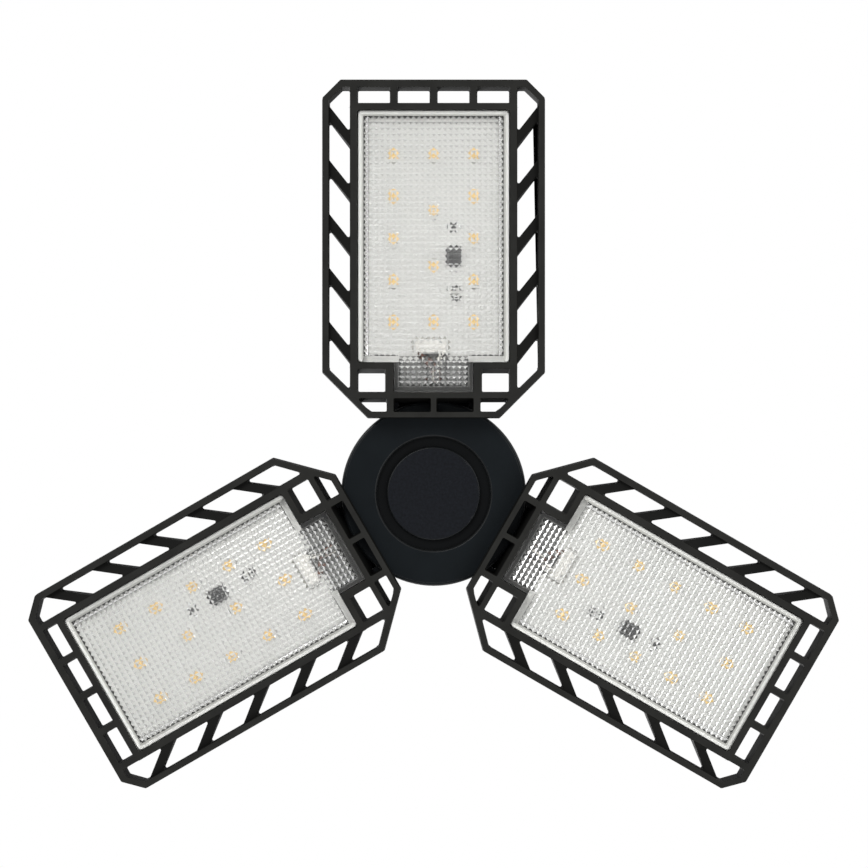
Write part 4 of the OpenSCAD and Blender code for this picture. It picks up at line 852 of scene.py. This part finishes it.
def leds():
    """White packages with a phosphor window, soldered on silver pads."""
    w, d, h, z = LED_W / 2, LED_L / 2, LED_H, BOARD_FRONT_Z
    lip = 0.1
    window = lip * 0.8
    walls = ((-w, -d, w, -d + lip), (-w, d - lip, w, d), (-w, -d, -w + lip, d),
             (w - lip, -d, w, d))
    solid = Solid("white_plastic", "phosphor", "solder")
    for x, y in led_places():
        solid.box((x - w, y - d, z - h * 0.45), (x + w, y + d, z), bevel=0.06)
        for x0, y0, x1, y1 in walls:
            solid.box((x + x0, y + y0, z - h), (x + x1, y + y1, z - h * 0.4), bevel=0.05)
        solid.box((x - w + window, y - d + window, z - h * 0.86),
                  (x + w - window, y + d - window, z - h * 0.3), "phosphor", bevel=0.12)
        for end in (-1, 1):
            solid.box((x - w * 0.8, y + end * d - 0.3, z - 0.14),
                      (x + w * 0.8, y + end * d + 0.3, z), "solder", bevel=0.05)
    put_panels(solid.mesh("leds_mesh"), "leds")


def driver_chip():
    """The driver chip with a dot at its first pin and four bent pins at each end."""
    x, y, z = CHIP_X, CHIP_Y, BOARD_FRONT_Z
    w, d, h = CHIP_W / 2, CHIP_L / 2, CHIP_H
    pin_w, pin_bevel = 0.25, 0.07
    solid = Solid("chip_black", "solder", "chip_mark")
    solid.box((x - w, y - d, z - h), (x + w, y + d, z - 0.12), bevel=0.28)
    solid.revolve([(0, 0), (0.42, 0), (0.42, 0.03), (0, 0.03)], "chip_mark", segments=24,
                  at=Matrix.Translation((x - w + 1.1, y + d - 1.2, z - h - 0.02)))
    for end in (-1, 1):
        foot_y, neck_y = y + end * (d + 0.45), y + end * (d + 0.08)
        for k in range(4):
            px = x + (k - 1.5) * CHIP_W / 4
            solid.box((px - pin_w, foot_y - 0.45, z - 0.3), (px + pin_w, foot_y + 0.45, z),
                      "solder", pin_bevel)
            solid.box((px - pin_w, neck_y - 0.16, z - h * 0.55),
                      (px + pin_w, neck_y + 0.16, z - 0.1), "solder", pin_bevel)
    put_panels(solid.mesh("driver_chip_mesh"), "driver_chip")


def chip_resistors():
    """Three chip resistors: a white body, a black film on it and a tinned cap at each end."""
    solid = Solid("chip_black", "solder", "board_white")
    half_w, half_l, z = 1.55, 0.78, BOARD_FRONT_Z
    for x, y in RESISTORS:
        solid.box((x - 1.15, y - half_l, z - 0.62), (x + 1.15, y + half_l, z - 0.5), bevel=0.03)
        solid.box((x - half_w, y - half_l, z - 0.52), (x + half_w, y + half_l, z), "board_white",
                  bevel=0.04)
        for end in (-1, 1):
            cap_x = x + end * 1.35
            solid.box((cap_x - 0.25, y - 0.8, z - 0.64), (cap_x + 0.25, y + 0.8, z), "solder",
                      bevel=0.07)
    put_panels(solid.mesh("chip_resistors_mesh"), "chip_resistors")


def plug_way(side):
    """The X place of the wire connector's way on one side."""
    return PLUG_X + side * PLUG_W * 0.31


def wire_connector():
    """A white two-way connector with open mouths for the wires and two latch windows."""
    z0, z1 = BOARD_FRONT_Z - PLUG_H + 0.65, BOARD_FRONT_Z
    x0, x1 = PLUG_X - PLUG_W / 2, PLUG_X + PLUG_W / 2
    y0, y1 = PLUG_Y - PLUG_L / 2, PLUG_Y + PLUG_L / 2
    left, right, mouth = plug_way(-1), plug_way(1), 0.95
    solid = Solid("white_plastic", "steel", "chip_black")
    solid.box((x0, y0 + 0.7, z0), (x1, y1, z1), bevel=0.16)
    for a, b in ((x0, left - mouth), (left + mouth, right - mouth), (right + mouth, x1)):
        solid.box((a, y0, z0), (b, y0 + 1, z1), bevel=0.12)
    for x in (left, right):
        solid.box((x - 1.05, y0, z0), (x + 1.05, y0 + 1, z0 + 0.5), bevel=0.1)
        solid.box((x - 0.55, y1 - 1.2, z0 - 0.02), (x + 0.55, y1 - 0.5, z0 + 0.1), "steel",
                  bevel=0.03)
        solid.box((x - 1.0, y0 + 0.62, z0 + 0.5), (x + 1.0, y0 + 0.72, z1 - 0.1), "chip_black")
    put_panels(solid.mesh("wire_connector_mesh"), "wire_connector")


def panel_wires():
    """The panel's pair of wires, from its connector through the floor into the hinge's bush."""
    plug_y, plug_z = PLUG_Y - PLUG_L / 2 - 0.05, BOARD_FRONT_Z - PLUG_H / 2
    floor_z, meet_x = SEAT_Z - WIRE_R - 0.1, KNUCKLE_X + 0.1
    for side, finish in ((1, "wire_brown"), (-1, "wire_white")):
        x, hole_x, z = plug_way(side), HOLE_X + side * HOLE_R * 0.45, HINGE_Z - side * WIRE_PAIR
        route = [(x, plug_y + 0.4, plug_z), (x, plug_y - WIRE_R, plug_z),
                 (x, plug_y - 2 * WIRE_R, plug_z),
                 (x * 0.4 + hole_x * 0.6, LENS_Y, (plug_z + floor_z) / 2),
                 (hole_x, HOLE_Y + 2 * HOLE_R, floor_z),
                 (hole_x, HOLE_Y + HOLE_R * 0.3, SEAT_Z - WIRE_R * 0.8),
                 (hole_x, HOLE_Y, FRAME_BACK_Z), (hole_x, HOLE_Y - HOLE_R * 0.1, PLATE_BACK_Z),
                 (hole_x, HOLE_Y - HOLE_R * 0.3, (PLATE_BACK_Z + HINGE_Z) / 2 - side * WIRE_PAIR),
                 ((HOLE_X + BUSH_IN_X) / 2, (HINGE_R + HOLE_Y) / 2,
                  HINGE_Z - WIRE_R - side * WIRE_PAIR),
                 (BUSH_IN_X * 0.8, HINGE_R + WIRE_R / 2, z), (BUSH_IN_X + WIRE_R, HINGE_R, z),
                 ((BUSH_IN_X + meet_x) / 2, HINGE_R, z), (meet_x, HINGE_R, z)]
        solid = Solid(finish).tube(route, WIRE_R)
        put_panels(solid.mesh(finish + "_panel_mesh", WIRE_SHARP_DEGREES), "panel_wires",
                   name="panel_" + finish, replaces=side > 0)


# Lens: the CAD tray, with hollow prisms in the back of its face

def prism_grid(part):
    """Adds the hollow pyramids of both fields, and a wall that joins them to the plate's back."""
    corners = {}

    def corner(x, y, z=PRISM_BASE_Z):
        key = (round(x, 3), round(y, 3), z)
        if key not in corners:
            corners[key] = part.verts.new(key)
        return corners[key]

    for xs, ys in ((FIELD_X, FIELD_Y), (TONGUE_FIELD_X, TONGUE_FIELD_Y)):
        for x0, x1 in zip(xs, xs[1:]):
            for y0, y1 in zip(ys, ys[1:]):
                square = [corner(x0, y0), corner(x1, y0), corner(x1, y1), corner(x0, y1)]
                tip = part.verts.new(((x0 + x1) / 2, (y0 + y1) / 2, PRISM_BASE_Z - PRISM_DEPTH))
                for a, b in zip(square, square[1:] + square[:1]):
                    part.faces.new((a, b, tip))
    border = [e for e in part.edges if len(e.link_faces) == 1
              and all(abs(v.co.z - PRISM_BASE_Z) < SAME_LEVEL for v in e.verts)]
    for edge in border:
        first, last = edge.verts
        back = [corner(v.co.x, v.co.y, LENS_BACK_Z) for v in (last, first)]
        part.faces.new((last, *back, first))


def round_outline(half, y0, y1, corner_r):
    """A rectangle with rounded corners, as points from its hub end round to its outer end."""
    points = []
    x, low, high = half - corner_r, y0 + corner_r, y1 - corner_r
    for cx, cy, start in ((x, low, -90), (x, high, 0), (-x, high, 90), (-x, low, 180)):
        for k in range(CURVE_STEPS + 1):
            a = math.radians(start + 90 * k / CURVE_STEPS)
            points.append((cx + corner_r * math.cos(a), cy + corner_r * math.sin(a)))
    return points


def edge_seal():
    """The white bead that seals the plate's rim to its skirt, open along the tongue."""
    gap, border = 0.25, 0.12
    outer = round_outline(LENS_X - gap, LENS_Y + gap, LENS_OUT_Y - gap, 1.1)
    inner = round_outline(FIELD_X[-1] + border, FIELD_Y[0] - border, FIELD_Y[-1] + border, 0.3)
    low, high = LENS_BACK_Z, LENS_BACK_Z + SEAL_T
    part = bmesh.new()
    loops = [[part.verts.new((x, y, z)) for x, y in outline]
             for outline, z in ((outer, low), (inner, low), (inner, high), (outer, high))]
    for a, b in zip(loops, loops[1:] + loops[:1]):
        bridge(part, a, b, closed=False)
    for k in (0, -1):
        part.faces.new([loop[k] for loop in loops])
    return part


def lens():
    """The lens, with flat shading on the faces that look back at the board."""
    part = bmesh.new()
    part.from_mesh(NODES["lens_1"].data)
    bmesh.ops.scale(part, vec=(1 / MM,) * 3, verts=part.verts)
    bmesh.ops.remove_doubles(part, verts=part.verts, dist=WELD)
    plate_back = [f for f in part.faces
                  if all(abs(v.co.z - LENS_BACK_Z) < SAME_LEVEL for v in f.verts)
                  and abs(f.normal.z) > 0.9 and f.calc_center_median().y > TONGUE_Y + 1]
    bmesh.ops.delete(part, geom=plate_back, context="FACES")
    bmesh.ops.dissolve_limit(part, angle_limit=FLAT_ANGLE, verts=part.verts,
                             edges=[e for e in part.edges if len(e.link_faces) == 2])
    prism_grid(part)
    rim = [e for e in part.edges if len(e.link_faces) == 1]
    bmesh.ops.triangle_fill(part, edges=rim, use_beauty=True, use_dissolve=False)
    solid = Solid("clear_lens", "seal_white").join(part)
    solid.join(edge_seal(), "seal_white")
    mesh = solid.mesh("lens_mesh", 30)
    for face in mesh.polygons:
        if face.normal.z > 0.2:
            face.use_smooth = False
    put_panels(mesh, "lens")


# Floor, lamps and world

WORLD_STRENGTH = 0.75
FLOOR_SIZE, FLOOR_Z = 60, -2.2
LAMPS = {  # place, the point aimed at, width in metres and power in watts
    "key": ((0.5, 0.9, -1.5), (0, 0, -0.05), 0.9, 14),
    "fill": ((-0.8, -0.4, -1.3), (0, 0, -0.05), 1.2, 8),
    "top": ((0.5, -0.6, 1.2), (0, 0, 0), 1.0, 14),
}


def set_world():
    """A plain light, and pure white for the camera, reflections and refractions."""
    world = bpy.data.worlds.new("white_room")
    scene.world = world
    world.use_nodes = True
    tree = world.node_tree
    plain = tree.nodes["Background"]
    plain.inputs["Color"].default_value = (1, 1, 1, 1)
    plain.inputs["Strength"].default_value = WORLD_STRENGTH
    white = add(tree, "ShaderNodeBackground", Color=(1, 1, 1, 1), Strength=1.0)
    path = add(tree, "ShaderNodeLightPath")
    seen = path.outputs["Is Camera Ray"]
    for name in ("Is Glossy Ray", "Is Transmission Ray"):
        either = add(tree, "ShaderNodeMath", operation="MAXIMUM")
        tree.links.new(seen, either.inputs[0])
        tree.links.new(path.outputs[name], either.inputs[1])
        seen = either.outputs[0]
    mixed = add(tree, "ShaderNodeMixShader")
    tree.links.new(seen, mixed.inputs[0])
    tree.links.new(plain.outputs[0], mixed.inputs[1])
    tree.links.new(white.outputs[0], mixed.inputs[2])
    tree.links.new(mixed.outputs[0], tree.nodes["World Output"].inputs["Surface"])


def floor():
    bm = bmesh.new()
    bmesh.ops.create_grid(bm, x_segments=1, y_segments=1, size=FLOOR_SIZE)
    mesh = bpy.data.meshes.new("floor")
    bm.to_mesh(mesh)
    bm.free()
    mesh.materials.append(MAT["floor_white"])
    obj = bpy.data.objects.new("floor", mesh)
    scene.collection.objects.link(obj)
    obj.location = (0, 0, FLOOR_Z)


def lamps():
    for name, (place, aim, size, power) in LAMPS.items():
        data = bpy.data.lights.new(name, "AREA")
        data.shape = "DISK"
        data.size = size
        data.energy = power
        lamp = bpy.data.objects.new(name, data)
        scene.collection.objects.link(lamp)
        lamp.location = place
        lamp.rotation_euler = (Vector(aim) - Vector(place)).to_track_quat("-Z", "Y").to_euler()
        lamp.visible_camera = False


set_camera()
set_world()
scene.view_settings.view_transform = "Standard"
floor()
lamps()
screw_shell()
base_insulator()
base_contact()
hub_neck()
cad_pieces("hub_housing")
hub_face()
hinge_lips()
cad_pieces("driver_board")
board_marks()
rectifier()
bulk_capacitor()
film_capacitor()
fuse_resistor()
surge_disc()
output_connectors()
cad_pieces("cover_screws")
input_wires()
output_wires()
cad_pieces("hinge_screws", "hinge_washers", "hinge_bushes", "hinge_arm", "arm_screws",
           "panel_frame", "heat_sink", "frame_screws", "thermal_pad", "led_board")
leds()
driver_chip()
chip_resistors()
wire_connector()
panel_wires()
lens()
